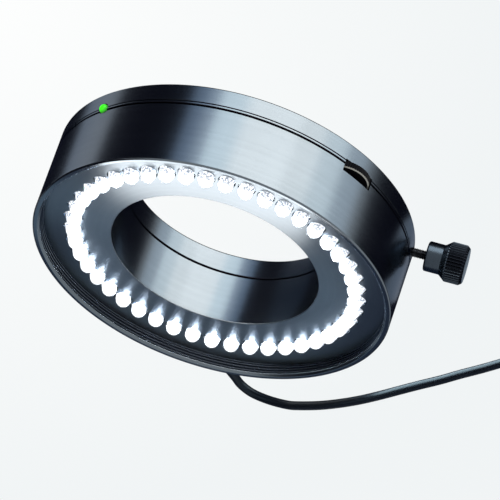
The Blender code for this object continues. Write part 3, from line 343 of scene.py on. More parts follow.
def lathe(
    name, profile, sides, closed=False, axes=None, at=(0.0, 0.0, 0.0), ripple=None, smooth_deg=SMOOTH_DEG,
):
    """Turned piece: P(s, a) = at + r(s, a) (cos a * X + sin a * Y) + h(s) * Z, for a profile of (r, h) and
    axes X, Y, Z. ripple(s, a) is what a knurl or a thread takes off the radius. An open profile starts and
    ends on the axis, and a closed one is a ring."""
    line = np.vstack((profile, profile[:1])) if closed else np.asarray(profile)
    axes = np.eye(3) if axes is None else np.asarray(axes)
    angle = np.linspace(0.0, 2.0 * math.pi, sides + 1)
    radius = np.repeat(line[:, :1], sides + 1, axis=1)
    if ripple is not None:
        radius = radius - ripple(line, angle)
    angle[-1] = 0.0
    across = np.cos(angle)[:, None] * axes[0] + np.sin(angle)[:, None] * axes[1]
    points = np.asarray(at) + radius[:, :, None] * across + (line[:, 1, None] * axes[2])[:, None, :]
    length = np.linalg.norm(np.diff(line, axis=0), axis=1).sum()
    girth = 2.0 * math.pi * line[:, 0].max()
    faces = grid_faces(len(line), sides + 1)
    uv = grid_uv(np.linspace(0.0, length, len(line)), np.linspace(0.0, girth, sides + 1))
    flat = points.reshape(-1, 3)
    first, second, third, fourth = (flat[faces[:, side]] for side in range(4))
    volume = np.einsum("ij,ij->i", first, np.cross(second, third)).sum()
    volume += np.einsum("ij,ij->i", first, np.cross(third, fourth)).sum()
    if volume < 0.0:
        faces = faces[:, ::-1]
        uv = uv[:, ::-1]
    return put_mesh(name, flat, faces.tolist(), smooth_deg, uv)


def outwards(angle, height):
    """Axes and start of a piece that stands on the wall: its own Z runs outwards from the ring's axis."""
    out = heading(angle)
    side = heading(angle + math.pi / 2.0)
    return {"axes": (side, np.array((0.0, 0.0, 1.0)), out), "at": (0.0, 0.0, height)}


def rib(radius, near, depth):
    """Corners of one rib and the groove after it: 0.8 mm at the full radius, then 0.4 mm cut in by depth."""
    cut = radius - depth
    return [(radius, near), (radius, near + 0.0008), (cut, near + 0.0009), (cut, near + 0.0013)]


boot = [
    (0.0, WALL_INSIDE - 0.0018), (FLANGE_RADIUS, WALL_INSIDE - 0.0018), (FLANGE_RADIUS, WALL_INSIDE),
    (NECK_RADIUS, WALL_INSIDE), (NECK_RADIUS, BOOT_START), (FLANGE_RADIUS, BOOT_START),
    (FLANGE_RADIUS, BOOT_START + 0.0012),
]
for number in range(5):
    near = BOOT_START + 0.0016 + RIB_STEP * number
    boot += rib(0.0033 - 0.0011 * (near - BOOT_START) / BOOT_LENGTH, near, 0.0006)
boot += [(0.0022, BOOT_START + 0.0087), (0.0021, BOOT_START + BOOT_LENGTH), (0.0, BOOT_START + BOOT_LENGTH)]
boot = rounded(boot, 0.00022)
strain_relief = lathe("cord_strain_relief", boot, 48, **outwards(GLAND_ANGLE, GLAND_HEIGHT))
strain_relief.data.materials.append(rubber.material)
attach(strain_relief, "ring")
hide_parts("strain_relief")


# Housing: one aluminium turning, fine-turned and black anodised. Narrow rim, three turns of filter thread
# inside it, the drilled lamp plate, which is a little rougher than the walls, the bore's wall and the outer
# wall up to the parting line.
RING_SIDES = 360
BORE_RADIUS = 0.033
RING_HEIGHT = 0.0286
PARTING = 0.0212
RECESS = 0.0548
PLATE_LOW = 0.0042
PLATE_TOP = 0.0062
CHANNEL_OUTER = 0.055
CHANNEL_INNER = 0.035
LAMP_COUNT = 45
LAMP_RADIUS = 0.0025
LAMP_TILT = math.radians(25.0)
LAMP_CIRCLE = 0.0448
LAMP_DEPTH = 0.0034
LAMP_BODY = 0.0061
LAMP_PHASE = math.radians(0.87)
LAMP_SIDES = 28
HOLE_GAP = 0.0003
HOLE_START = 0.0035
EDGE_BREAK = 0.0002
RIM_CHAMFER = 0.0004
BORE_BREAK = 0.00015
FILLET = 0.00013
THREAD_START = 0.0012
THREAD_STEP = 0.001
THREAD_DEPTH = 0.00025
THREAD_WIDTH = 0.0003
WHEEL_ANGLE = math.radians(-47.3)
WHEEL_CIRCLE = 0.0516
WHEEL_RADIUS = 0.0074
WHEEL_LOW = 0.02015
WHEEL_TOP = 0.02255
STATUS_ANGLE = math.radians(-136.9)
STATUS_HEIGHT = 0.0223
STATUS_RADIUS = 0.0015
CLAMP_HEIGHT = 0.02565
CORD_HOLE = 0.0029
PAST_WALL = 0.058


def as_shown(piece):
    """Keep the piece with its modifiers applied as its mesh."""
    bpy.context.view_layer.update()
    shown = piece.evaluated_get(bpy.context.evaluated_depsgraph_get())
    piece.data = bpy.data.meshes.new_from_object(shown)
    piece.modifiers.clear()


def settle(piece, *cutters):
    """Cut the piece with each cutter, weight its normals by face area, and keep the result as its mesh."""
    for cutter in cutters:
        modifier = piece.modifiers.new("cut", "BOOLEAN")
        modifier.operation = "DIFFERENCE"
        modifier.solver = "EXACT"
        modifier.object = cutter
    as_shown(piece)
    for cutter in cutters:
        bpy.data.objects.remove(cutter, do_unlink=True)
    soften(piece.data, SMOOTH_DEG)
    weigh = piece.modifiers.new("weigh", "WEIGHTED_NORMAL")
    weigh.keep_sharp = True
    weigh.weight = 90
    as_shown(piece)


def rod(name, radius, low, high, sides=40, **place):
    """Plain round cutter: a cylinder from low to high along its own Z."""
    return lathe(name, [(0.0, low), (radius, low), (radius, high), (0.0, high)], sides, **place)


def lamp_axes(angle):
    """Axes of a lamp: its Z leans 25 degrees outwards from the ring's axis, from the dome to its leads."""
    out = heading(angle)
    side = heading(angle + math.pi / 2.0)
    back = out * math.sin(LAMP_TILT) + np.array((0.0, 0.0, math.cos(LAMP_TILT)))
    return np.array((np.cross(side, back), side, back))


def turn_copies(piece_points, faces, angles):
    """Copies of a shape turned about the ring's axis: P' = R(a) P for each angle a."""
    cos, sin = np.cos(angles)[:, None], np.sin(angles)[:, None]
    x, y = piece_points[None, :, 0], piece_points[None, :, 1]
    z = np.broadcast_to(piece_points[None, :, 2], (len(angles), len(piece_points)))
    turned = np.stack((x * cos - y * sin, x * sin + y * cos, z), axis=2)
    step = (np.arange(len(angles)) * len(piece_points))[:, None, None]
    return turned.reshape(-1, 3), (faces[None] + step).reshape(-1, faces.shape[1])


lamp_angles = LAMP_PHASE + 2.0 * math.pi * np.arange(LAMP_COUNT) / LAMP_COUNT


def lamp_holes():
    """Forty-five tilted cylinders, one for each lamp, with a gap of 0.3 mm all round it."""
    axes = lamp_axes(0.0)
    sides = LAMP_SIDES
    angle = np.linspace(0.0, 2.0 * math.pi, sides, endpoint=False)
    ring = (np.cos(angle)[:, None] * axes[0] + np.sin(angle)[:, None] * axes[1]) * (LAMP_RADIUS + HOLE_GAP)
    centre = np.array((LAMP_CIRCLE, 0.0, LAMP_DEPTH))
    points = np.vstack((ring + centre - axes[2] * HOLE_START, ring + centre + axes[2] * LAMP_BODY))
    this = np.arange(sides)
    following = np.roll(this, -1)
    walls = np.stack((this, following, following + sides, this + sides), axis=1)
    points, walls = turn_copies(points, walls, lamp_angles)
    faces = walls.tolist()
    for lamp in range(LAMP_COUNT):
        first = lamp * 2 * sides
        faces.append(list(range(first + sides - 1, first - 1, -1)))
        faces.append(list(range(first + sides, first + 2 * sides)))
    return put_mesh("lamp_holes", points, faces)


def turned_coordinates(finish, centre=(AXIS_X, 0.0, 0.0), along="Z"):
    """Radius sqrt(x^2 + y^2) and height z about a piece's own axis. A noise on these two alone is even round
    the piece, like the marks of a lathe tool."""
    split = finish.make("ShaderNodeSeparateXYZ", None, {"Vector": finish.place(centre=centre)}).link.node
    x, y, z = (Socket(finish, output) for output in split.outputs)
    if along == "X":
        x, y, z = y, z, x
    square = x * x + y * y
    return square.math("SQRT", square), z


def noise_in_turn(finish, radius, height, scale, detail=1.0):
    """Noise on (radius, 0, height) alone, so that it makes even rings about the axis."""
    vector = finish.make("ShaderNodeCombineXYZ", None, {"X": radius * scale, "Z": height * scale})
    return finish.noise(vector, 1.0, detail, 0.6)


def anodised(name, dark, pale, rough, centre=(AXIS_X, 0.0, 0.0), along="Z", lines=0.22, bands=()):
    """Black anodised aluminium: a blue-grey metal whose fine tool marks run round it, with a faint cloud
    in the dye and slightly polished patches. Each band (low, high, inner radius, outer radius, tone) is
    painted shade: a strip such as a joint, a groove or a recessed wall, drawn in a darker tone."""
    made = Finish(name)
    radius, height = turned_coordinates(made, centre, along)
    fine = noise_in_turn(made, radius, height, 5200.0)
    wide = noise_in_turn(made, radius, height, 900.0, 3.0)
    cloud = made.noise(made.place(), 70.0, 4.0)
    speckle = made.noise(made.place(), 2600.0, 2.0)
    tone = (0.45 * wide + 0.35 * cloud + 0.2 * speckle).between(0.32, 0.68)
    colour = made.mix(tone, dark, pale)
    for low, high, inner, outer, band_tone in bands:
        in_height = height.between(low - 0.0001, low) * (1.0 - height.between(high, high + 0.0001))
        in_radius = radius.between(inner, inner + 0.001) * (1.0 - radius.between(outer, outer + 0.00004))
        colour = made.mix(in_height * in_radius, colour, band_tone)
    made.set(
        Base_Color=colour,
        Metallic=1.0,
        Roughness=rough + 0.04 * wide + 0.02 * speckle - 0.03,
        Specular_Tint=(0.42, 0.46, 0.54),
        Anisotropic=0.5,
        Anisotropic_Rotation=0.25,
        Normal=made.bump(fine * 0.85 + speckle * 0.15, lines, 0.000006),
    )
    return made


# Painted shade: the parting joint's broken edges and the cover's groove are drawn near black, and the wall
# of the rim's recess, where the filter thread is cut, is drawn in a darker tone.
JOINT_SHADE = (0.006, 0.006, 0.010)
painted_shade_bands = (
    (PARTING - 0.0002, PARTING + 0.0005, 0.03, 0.06, JOINT_SHADE),
    (PARTING + 0.0011, PARTING + 0.0014, 0.05, 0.06, JOINT_SHADE),
    (0.0009, PLATE_LOW - 0.0002, 0.0530, RECESS + 0.00006, (0.036, 0.041, 0.053)),
)
black_turned = anodised(
    "black_anodised_aluminium", (0.128, 0.147, 0.167), (0.144, 0.165, 0.187), 0.235, bands=painted_shade_bands,
)

plate_radius, plate_height = turned_coordinates(black_turned)
off_wall = 1.0 - plate_radius.between(RECESS - 0.0004, RECESS - 0.0002)
on_plate = off_wall * (1.0 - plate_height.between(PLATE_LOW + 0.0001, PLATE_LOW + 0.0003))
gloss = Socket(black_turned, black_turned.shader.inputs["Roughness"].links[0].from_socket)
black_turned.set(Roughness=gloss + 0.09 * on_plate)

housing_profile = [
    (RING_RADIUS - EDGE_BREAK, PARTING), (RING_RADIUS, PARTING - EDGE_BREAK), (RING_RADIUS, RIM_CHAMFER),
    (RING_RADIUS - RIM_CHAMFER, 0.0), (0.0555, 0.0), (RECESS, 0.0007),
]
for turn in range(3):
    groove = THREAD_START + THREAD_STEP * turn
    housing_profile += [
        (RECESS, groove), (RECESS + THREAD_DEPTH, groove + THREAD_WIDTH / 2.0),
        (RECESS, groove + THREAD_WIDTH),
    ]
housing_profile += [
    (RECESS, PLATE_LOW), (BORE_RADIUS + BORE_BREAK, PLATE_LOW), (BORE_RADIUS, PLATE_LOW + BORE_BREAK),
    (BORE_RADIUS, PARTING - EDGE_BREAK), (BORE_RADIUS + EDGE_BREAK, PARTING), (CHANNEL_INNER, PARTING),
    (CHANNEL_INNER, PLATE_TOP), (CHANNEL_OUTER, PLATE_TOP), (CHANNEL_OUTER, PARTING),
]
housing_profile = rounded(housing_profile, FILLET, 3, closed=True)


def wall_cutters():
    """The dimmer's slot and the status lamp's hole, which both rings share."""
    slot_at = heading(WHEEL_ANGLE) * WHEEL_CIRCLE
    slot = rod("slot", WHEEL_RADIUS + HOLE_GAP, WHEEL_LOW - 0.0014, WHEEL_TOP + 0.0004, 96, at=slot_at)
    status_at = outwards(STATUS_ANGLE, STATUS_HEIGHT)
    hole = rod("hole", STATUS_RADIUS + HOLE_GAP, 0.0525, PAST_WALL, **status_at)
    return slot, hole


housing = lathe("housing_turning", housing_profile, RING_SIDES, closed=True)
cord_hole = rod("cord_hole", CORD_HOLE, 0.054, PAST_WALL, **outwards(GLAND_ANGLE, GLAND_HEIGHT))
settle(housing, lamp_holes(), cord_hole, *wall_cutters())
housing.data.materials.clear()
housing.data.materials.append(black_turned.material)
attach(housing, "ring")
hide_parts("housing")


# Back cover: the second turning, screwed to the housing from behind. A 0.3 mm joint shows as a dark line,
# darkened further by painted shade on its broken edges, with a fine groove beside it that is painted dark
# inside as shade. The clamp screw runs through the cover from the side, and its flat back is finely blasted.
COVER_LOW = 0.0215
COVER_INSIDE = 0.0266
COVER_EDGE = 0.0005
COVER_WALL = 0.0535
SPIGOT_DROP = 0.0015
GROOVE_SIZE = 0.0003
CLAMP_HOLE = 0.0016
SHANK_HOLE = 0.00175
SINK_RADIUS = 0.0031
POST_CIRCLE = 0.03939
POST_ANGLES = np.radians((60.0, 180.0, 300.0))
GROOVE_LOW = COVER_LOW + 0.0008
cover_profile = rounded([
    (RING_RADIUS - COVER_EDGE, RING_HEIGHT), (RING_RADIUS, RING_HEIGHT - COVER_EDGE),
    (RING_RADIUS, GROOVE_LOW + GROOVE_SIZE), (RING_RADIUS - GROOVE_SIZE, GROOVE_LOW + GROOVE_SIZE),
    (RING_RADIUS - GROOVE_SIZE, GROOVE_LOW), (RING_RADIUS, GROOVE_LOW),
    (RING_RADIUS, COVER_LOW + EDGE_BREAK), (RING_RADIUS - EDGE_BREAK, COVER_LOW),
    (WALL_INSIDE, COVER_LOW), (WALL_INSIDE, COVER_LOW - SPIGOT_DROP),
    (COVER_WALL, COVER_LOW - SPIGOT_DROP), (COVER_WALL, COVER_INSIDE), (CHANNEL_INNER, COVER_INSIDE),
    (CHANNEL_INNER, COVER_LOW), (BORE_RADIUS + EDGE_BREAK, COVER_LOW), (BORE_RADIUS, COVER_LOW + EDGE_BREAK),
    (BORE_RADIUS, RING_HEIGHT - COVER_EDGE), (BORE_RADIUS + COVER_EDGE, RING_HEIGHT),
], FILLET, 3, closed=True)
back_cover = lathe("back_cover_turning", cover_profile, RING_SIDES, closed=True)
cover_tools = list(wall_cutters())
cover_tools.append(rod("clamp_hole", CLAMP_HOLE, 0.032, PAST_WALL, **outwards(0.0, CLAMP_HEIGHT)))
for post_angle in POST_ANGLES:
    post_at = heading(post_angle) * POST_CIRCLE
    countersink = [
        (0.0, 0.025), (SHANK_HOLE, 0.025), (SHANK_HOLE, RING_HEIGHT - 0.0017),
        (SINK_RADIUS, RING_HEIGHT - 0.0003), (SINK_RADIUS, RING_HEIGHT + 0.001), (0.0, RING_HEIGHT + 0.001),
    ]
    cover_tools.append(lathe("countersink", countersink, 48, at=post_at))
settle(back_cover, *cover_tools)
back_cover.data.materials.clear()
back_cover.data.materials.append(black_turned.material)
black_blasted = anodised(
    "black_blasted_back", (0.046, 0.051, 0.058), (0.060, 0.066, 0.074), 0.40, lines=0.1,
)
black_blasted.set(Anisotropic=0.0)
back_cover.data.materials.append(black_blasted.material)
for polygon in back_cover.data.polygons:
    if polygon.normal.z > 0.9 and polygon.center.z > RING_HEIGHT - 0.0002:
        polygon.material_index = 1
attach(back_cover, "ring")
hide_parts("back_cover")


# Lamps: forty-five 5 mm round LEDs in clear resin, nine to each of five moulded carriers, lit white. Each
# dome looks down and 25 degrees inwards.
CARRIER_INNER = 0.043778
CARRIER_OUTER = 0.049678
CARRIER_LOW = 0.008928
CARRIER_TOP = 0.011128
CARRIER_GAP = math.radians(0.6)
GLOW_RADIUS = 0.00228
CHIP_RADIUS = 0.0009
CHIP_CENTRE = -0.0014


def turned_lamp(line, share, sides):
    """Lamp part at angle 0: a profile (r, h) carried round the lamp's own axis. Its UV is (share down the
    profile, 0 on the side towards the ring's axis to 1 on the far side)."""
    axes = lamp_axes(0.0)
    angle = np.linspace(0.0, 2.0 * math.pi, sides + 1)
    away = (1.0 + np.cos(angle)) / 2.0
    angle[-1] = 0.0
    across = np.cos(angle)[:, None] * axes[0] + np.sin(angle)[:, None] * axes[1]
    points = line[:, 0, None, None] * across + (line[:, 1, None] * axes[2])[:, None, :]
    points = points + (LAMP_CIRCLE, 0.0, LAMP_DEPTH)
    return points.reshape(-1, 3), grid_faces(len(line), sides + 1), grid_uv(share, away)


def lamp_shape(rings=9):
    """Shell, glow and chip: each is a dome r (sin e, -cos e) for e from 0 to 90 degrees on a straight body.
    The share down the profile runs from 0 for the clear shell, from 4 for the glow and is 8 for the chip."""
    rise = np.linspace(0.0, math.pi / 2.0, rings)
    dome = np.stack((np.sin(rise), -np.cos(rise)), axis=1)
    down = np.append(np.linspace(0.0, 1.0, rings), (1.4, 1.8, 2.0))
    parts = []
    for radius, centre, share, sides in (
        (LAMP_RADIUS, 0.0, down, LAMP_SIDES),
        (GLOW_RADIUS, 0.0, down + 4.0, LAMP_SIDES),
        (CHIP_RADIUS, CHIP_CENTRE, down * 0.0 + 8.0, 10),
    ):
        top = LAMP_BODY + 0.0006 - (LAMP_RADIUS - radius)
        body = [(radius, top * 0.5), (radius, top), (0.0, top)]
        parts.append(turned_lamp(np.vstack((dome * radius + (0.0, centre), body)), share, sides))
    starts = np.cumsum([0] + [len(part[0]) for part in parts[:-1]])
    points = np.vstack([part[0] for part in parts])
    faces = np.vstack([part[1] + start for part, start in zip(parts, starts)])
    return points, faces, np.concatenate([part[2] for part in parts])


def carrier_shape(start, end, parts=36):
    """Arc-shaped slab: the rectangle (radius, height) of the carrier carried from one angle to another."""
    corners = np.array((
        (CARRIER_INNER, CARRIER_LOW), (CARRIER_OUTER, CARRIER_LOW),
        (CARRIER_OUTER, CARRIER_TOP), (CARRIER_INNER, CARRIER_TOP), (CARRIER_INNER, CARRIER_LOW),
    ))
    angle = np.linspace(start, end, parts + 1)
    ring = np.stack((
        corners[None, :, 0] * np.cos(angle)[:, None],
        corners[None, :, 0] * np.sin(angle)[:, None],
        np.broadcast_to(corners[None, :, 1], (parts + 1, 5)),
    ), axis=2)
    faces = grid_faces(parts + 1, 5)[:, ::-1].tolist()
    last = parts * 5
    faces += [[0, 3, 2, 1][::-1], [last, last + 3, last + 2, last + 1]]
    return ring.reshape(-1, 3), faces


lit_resin = Finish("lit_led_resin")
lamp_uv = lit_resin.make("ShaderNodeSeparateXYZ", None, {"Vector": lit_resin.place(source="UV")}).link.node
down_the_lamp, away_side = Socket(lit_resin, lamp_uv.outputs[0]), Socket(lit_resin, lamp_uv.outputs[1])
# The glow inside each dome is the lamp's own light. The flecks and ragged edges round it are painted glints
# of that light in the resin.
glint_noise = lit_resin.noise(lit_resin.place(), 1100.0, 1.0)
painted_glints = lit_resin.noise(lit_resin.place(), 1700.0, 1.0).between(0.44, 0.58)
in_glow = down_the_lamp.between(3.0, 3.5)
in_chip = down_the_lamp.between(7.0, 7.5)
glow_edge = (down_the_lamp + 0.25 * glint_noise).between(4.95, 5.25)
body_edge = (down_the_lamp + 0.3 * glint_noise).between(5.35, 5.60)
glint_colour = lit_resin.mix(painted_glints, (0.040, 0.041, 0.042), (0.009, 0.010, 0.012))
glow_colour = lit_resin.mix(glow_edge, (0.043, 0.044, 0.0445), glint_colour)
glow_colour = lit_resin.mix(body_edge, glow_colour, (0.0015, 0.0018, 0.0022))
glow_colour = lit_resin.mix(in_glow, (0.0, 0.0, 0.0), glow_colour)
lit_resin.set(
    Base_Color=lit_resin.mix(in_glow, (0.80, 0.86, 0.90), (0.16, 0.20, 0.25)),
    Roughness=0.10 + 0.06 * lit_resin.noise(lit_resin.place(), 1800.0),
    Alpha=0.12 + in_glow * (0.40 + 0.48 * (away_side.between(0.5, 0.75) * (1.0 - in_chip) + in_chip)),
    Emission_Color=lit_resin.mix(in_chip, glow_colour, (1.0, 1.0, 1.0)),
    Emission_Strength=38.0,
)

point, face, corner = lamp_shape()
for bank in range(5):
    in_bank = lamp_angles[bank * 9:bank * 9 + 9]
    half = math.pi / LAMP_COUNT - CARRIER_GAP
    points, faces = turn_copies(point, face, in_bank)
    slab, slab_faces = carrier_shape(in_bank[0] - half, in_bank[-1] + half)
    slab_faces = [[index + len(points) for index in one] for one in slab_faces]
    # The carriers take share 6 in the lit resin's finish, so they glow as dimly as the lamps' bodies: a
    # painted glow on a part that is no lamp.
    uv = np.vstack((np.tile(corner.reshape(-1, 2), (9, 1)), np.full((4 * len(slab_faces), 2), 6.0)))
    faces = faces.tolist() + slab_faces
    lamps = put_mesh(f"lamp_row_{bank + 1}", np.vstack((points, slab)), faces, 40.0, uv)
    lamps.data.materials.append(lit_resin.material)
    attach(lamps, "ring")
    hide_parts(f"led_bank_{bank + 1}")


# Dimmer: moulded thumbwheel on a small shaft, with a fine straight grip round its edge, so far into its
# slot that only an arc of it shows.
WHEEL_TEETH = 60
WHEEL_TOOTH_DEPTH = 0.0003
wheel_profile = rounded([
    (0.0, WHEEL_LOW - 0.0024), (0.001, WHEEL_LOW - 0.0024), (0.001, WHEEL_LOW),
    (WHEEL_RADIUS - 0.0007, WHEEL_LOW), (WHEEL_RADIUS, WHEEL_LOW + 0.0004),
    (WHEEL_RADIUS, WHEEL_TOP - 0.0003), (WHEEL_RADIUS - 0.0003, WHEEL_TOP),
    (WHEEL_RADIUS - 0.0012, WHEEL_TOP), (WHEEL_RADIUS - 0.0014, WHEEL_TOP - 0.0003),
    (0.0, WHEEL_TOP - 0.0003),
], 0.0001)


def wheel_grip(line, angle):
    """Teeth on the rim only: depth d (1 - cos(N a)) / 2 where the radius is nearly full."""
    weight = np.clip((line[:, 0] - WHEEL_RADIUS + 0.0004) / 0.0003, 0.0, 1.0)
    return weight[:, None] * (WHEEL_TOOTH_DEPTH / 2.0) * (1.0 - np.cos(WHEEL_TEETH * angle))[None, :]


moulded = Finish("wheel_plastic")
fine = moulded.noise(moulded.place(), 3200.0, 3.0)
wear = moulded.noise(moulded.place(), 300.0, 2.0)
wheel_centre = tuple(heading(WHEEL_ANGLE) * WHEEL_CIRCLE + (AXIS_X, 0.0, WHEEL_LOW))
wheel_rho, wheel_z = turned_coordinates(moulded, wheel_centre)
wheel_black = moulded.mix(wear, (0.003, 0.003, 0.004), (0.006, 0.006, 0.008))
# Painted highlight: the chamfer round the wheel's lower edge is drawn pale.
edge_ring = wheel_rho.between(WHEEL_RADIUS - 0.0006, WHEEL_RADIUS - 0.0005)
edge_highlight = edge_ring * (1.0 - wheel_z.between(0.00034, 0.00042))
moulded.set(
    Base_Color=moulded.mix(edge_highlight, wheel_black, (0.62, 0.60, 0.54)),
    Roughness=0.42 + 0.16 * wear,
    Specular_IOR_Level=0.04,
    Normal=moulded.bump(fine, 0.3, 0.00005),
)
wheel_at = heading(WHEEL_ANGLE) * WHEEL_CIRCLE
wheel = lathe("dimmer_thumbwheel", wheel_profile, WHEEL_TEETH * 8, at=wheel_at, ripple=wheel_grip)
wheel.data.materials.append(moulded.material)
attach(wheel, "dimmer")
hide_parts("dimmer_wheel")


# Status lamp: 3 mm green LED in cast resin, lit, lying in its holder inside the case. Its dome stands 1.2 mm
# proud of the wall, in a hole that both rings share.
STATUS_TIP = RING_RADIUS + 0.0012
STATUS_BACK = RING_RADIUS - 0.0075
rise = np.linspace(0.0, math.pi / 2.0, 10)
dome = np.stack((STATUS_RADIUS * np.sin(rise), STATUS_TIP - STATUS_RADIUS * (1.0 - np.cos(rise))), axis=1)
status_profile = np.vstack((dome, [(STATUS_RADIUS, STATUS_BACK), (0.0, STATUS_BACK)]))
status_place = outwards(STATUS_ANGLE, STATUS_HEIGHT)
status_lamp = lathe("status_lamp", status_profile, 40, smooth_deg=50.0, **status_place)
green = Finish("green_led_resin")
from_tip = green.make("ShaderNodeVectorMath", {"operation": "DISTANCE"}, {
    0: green.place(),
    1: tuple(heading(STATUS_ANGLE) * STATUS_TIP + (AXIS_X, 0.0, STATUS_HEIGHT)),
}, output=1)
rim_share = from_tip.between(0.0008, 0.0021)
green.set(
    Base_Color=(0.02, 0.30, 0.01),
    Roughness=0.12 + 0.05 * green.noise(green.place(), 1500.0),
    Specular_IOR_Level=0.2,
    Emission_Color=green.mix(rim_share, (0.045, 0.95, 0.004), (0.030, 0.20, 0.020)),
    Emission_Strength=1.0,
)
status_lamp.data.materials.append(green.material)
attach(status_lamp, "ring")
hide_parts("status_led")


# Clamp screw: M3 steel screw with a nylon tip that doesn't turn, and a knob pressed on its outer end. The
# tip bears on the microscope's objective.
SCREW_RADIUS = 0.0015
SCREW_PITCH = 0.0005
SCREW_START = 0.0356
SCREW_END = 0.0673
HUB_START = 0.0613
SCREW_DEPTH = 0.00027
screw_line = np.linspace(SCREW_START, SCREW_END, round((SCREW_END - SCREW_START) / SCREW_PITCH * 8) + 1)
screw_side = np.stack((np.full_like(screw_line, SCREW_RADIUS), screw_line), axis=1)
screw_profile = np.vstack(((0.0, SCREW_START), screw_side, (0.0, SCREW_END)))


def thread(line, angle):
    """Right-hand thread: the depth falls and rises as a triangle of height / pitch - a / 2 pi."""
    phase = line[:, 1, None] / SCREW_PITCH - angle[None, :] / (2.0 * math.pi)
    run_in = np.clip((line[:, 1, None] - SCREW_START) / SCREW_PITCH, 0.25, 1.0)
    weight = (line[:, 0, None] > 0.0) * run_in
    return SCREW_DEPTH * weight * 2.0 * np.abs(phase - np.round(phase))


def grained(name, first, second, rough, spread, grain, bump, metal=0.0):
    """Plain finish: two close colours in a fine grain (scale, detail), with the same grain in its gloss
    over a spread and in its surface by a bump (strength, depth)."""
    made = Finish(name)
    marks = made.noise(made.place(), *grain)
    made.set(
        Base_Color=made.mix(marks, first, second),
        Metallic=metal,
        Roughness=rough + spread * marks,
        Normal=made.bump(marks, *bump),
    )
    return made


clamp_place = outwards(0.0, CLAMP_HEIGHT)
steel = grained(
    "zinc_steel", (0.035, 0.038, 0.045), (0.080, 0.084, 0.095), 0.30, 0.15, (2400.0, 2.0),
    (0.15, 0.00003), 1.0,
)
screw = lathe("clamp_screw_thread", screw_profile, 32, ripple=thread, smooth_deg=60.0, **clamp_place)
screw.data.materials.append(steel.material)
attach(screw, "clamp")
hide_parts("clamp_screw")

nylon = grained(
    "nylon_natural", (0.70, 0.67, 0.58), (0.80, 0.77, 0.69), 0.45, 0.1, (900.0, 3.0), (0.2, 0.00005),
)
TIP_START = 0.0333
tip_profile = rounded([
    (0.0, TIP_START), (SCREW_RADIUS - 0.0004, TIP_START), (SCREW_RADIUS, TIP_START + 0.0004),
    (SCREW_RADIUS, TIP_START + 0.002), (0.0, TIP_START + 0.002),
], 0.0001)
tip = lathe("clamp_screw_tip", tip_profile, 40, **clamp_place)
tip.data.materials.append(nylon.material)
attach(tip, "clamp_carriage")
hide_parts("clamp_tip")


# Clamp knob: turned aluminium, black anodised. Smooth hub, conical shoulder, and a head with a fine
# straight knurl, chamfered at both ends, with a flat faced end.
KNOB_TEETH = 40
HUB_RADIUS = 0.0047
KNOB_RADIUS = 0.0063
KNOB_START = 0.0664
GRIP_START = 0.0681
GRIP_END = 0.073
KNOB_END = 0.074
KNURL_DEPTH = 0.00042
KNOB_BORE = 0.0018
BORE_END = 0.0676
knob_profile = rounded([
    (0.0, BORE_END), (KNOB_BORE, BORE_END), (KNOB_BORE, HUB_START), (HUB_RADIUS - 0.0004, HUB_START),
    (HUB_RADIUS, HUB_START + 0.0004), (HUB_RADIUS, KNOB_START),
    (KNOB_RADIUS - 0.0005, GRIP_START - 0.0003), (KNOB_RADIUS, GRIP_START + 0.0003),
    (KNOB_RADIUS, GRIP_END), (KNOB_RADIUS - 0.0008, KNOB_END), (0.0, KNOB_END),
], 0.0002, 4)


def knurl(line, angle):
    """Grooves along the head: depth d sqrt(|cos(N a / 2)|) between narrow crests, only where the radius is
    nearly full."""
    weight = np.clip((line[:, 0] - KNOB_RADIUS + 0.00045) / 0.0004, 0.0, 1.0)
    return weight[:, None] * KNURL_DEPTH * np.sqrt(np.abs(np.cos(KNOB_TEETH * angle / 2.0)))[None, :]


knob = lathe("clamp_knob_turning", knob_profile, KNOB_TEETH * 8, ripple=knurl, **clamp_place)
knob_axis = (0.0, 0.0, CLAMP_HEIGHT)
black_knob = anodised(
    "knob_black_aluminium", (0.042, 0.053, 0.067), (0.055, 0.069, 0.086), 0.27, knob_axis, "X", 0.4,
)
knob_rho, knob_x = turned_coordinates(black_knob, knob_axis, "X")
# Painted shade: the knurl's grooves are drawn near black.
in_head = knob_x.between(GRIP_START + AXIS_X, GRIP_START + AXIS_X + 0.0002)
groove_shade = in_head * (1.0 - knob_rho.between(KNOB_RADIUS - 0.00032, KNOB_RADIUS - 0.00004))
smooth_tone = Socket(black_knob, black_knob.shader.inputs["Base Color"].links[0].from_socket)
black_knob.set(Anisotropic=0.0, Base_Color=black_knob.mix(groove_shade, smooth_tone, (0.006, 0.007, 0.010)))
# Painted light: the flat end face is a lighter copy of the knob's black anodising.
lit_knob_face = anodised(
    "knob_face_painted_light", (0.20, 0.25, 0.28), (0.27, 0.32, 0.35), 0.42, knob_axis, "X", 0.4,
)
lit_knob_face.set(Anisotropic=0.0)
knob.data.materials.append(black_knob.material)
knob.data.materials.append(lit_knob_face.material)
for polygon in knob.data.polygons:
    if polygon.center.x > KNOB_END + AXIS_X - 0.00005:
        polygon.material_index = 1
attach(knob, "clamp")
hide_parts("clamp_knob")


# Cover screws: three countersunk M3 screws with a hexagon socket, in blackened steel. They hold the back
# cover on the housing's posts, flush with the back.
HEAD_RADIUS = 0.0028
SOCKET_RADIUS = 0.001
SOCKET_DEPTH = 0.0009
SHANK_RADIUS = 0.00145
SCREW_LENGTH = 0.012
black_steel = grained(
    "blackened_steel", (0.035, 0.036, 0.040), (0.075, 0.075, 0.080), 0.32, 0.14, (1500.0, 3.0),
    (0.2, 0.00003), 1.0,
)


def hexagon(line, angle):
    """The socket's rows are a hexagon, r cos(30) / cos(a - nearest 60 degrees). The others stay round."""
    to_flat = (angle + math.pi / 6.0) % (math.pi / 3.0) - math.pi / 6.0
    shape = 1.0 - math.cos(math.pi / 6.0) / np.cos(to_flat)
    in_socket = np.abs(line[:, 0] - SOCKET_RADIUS) < 1e-6
    return in_socket[:, None] * SOCKET_RADIUS * shape[None, :]


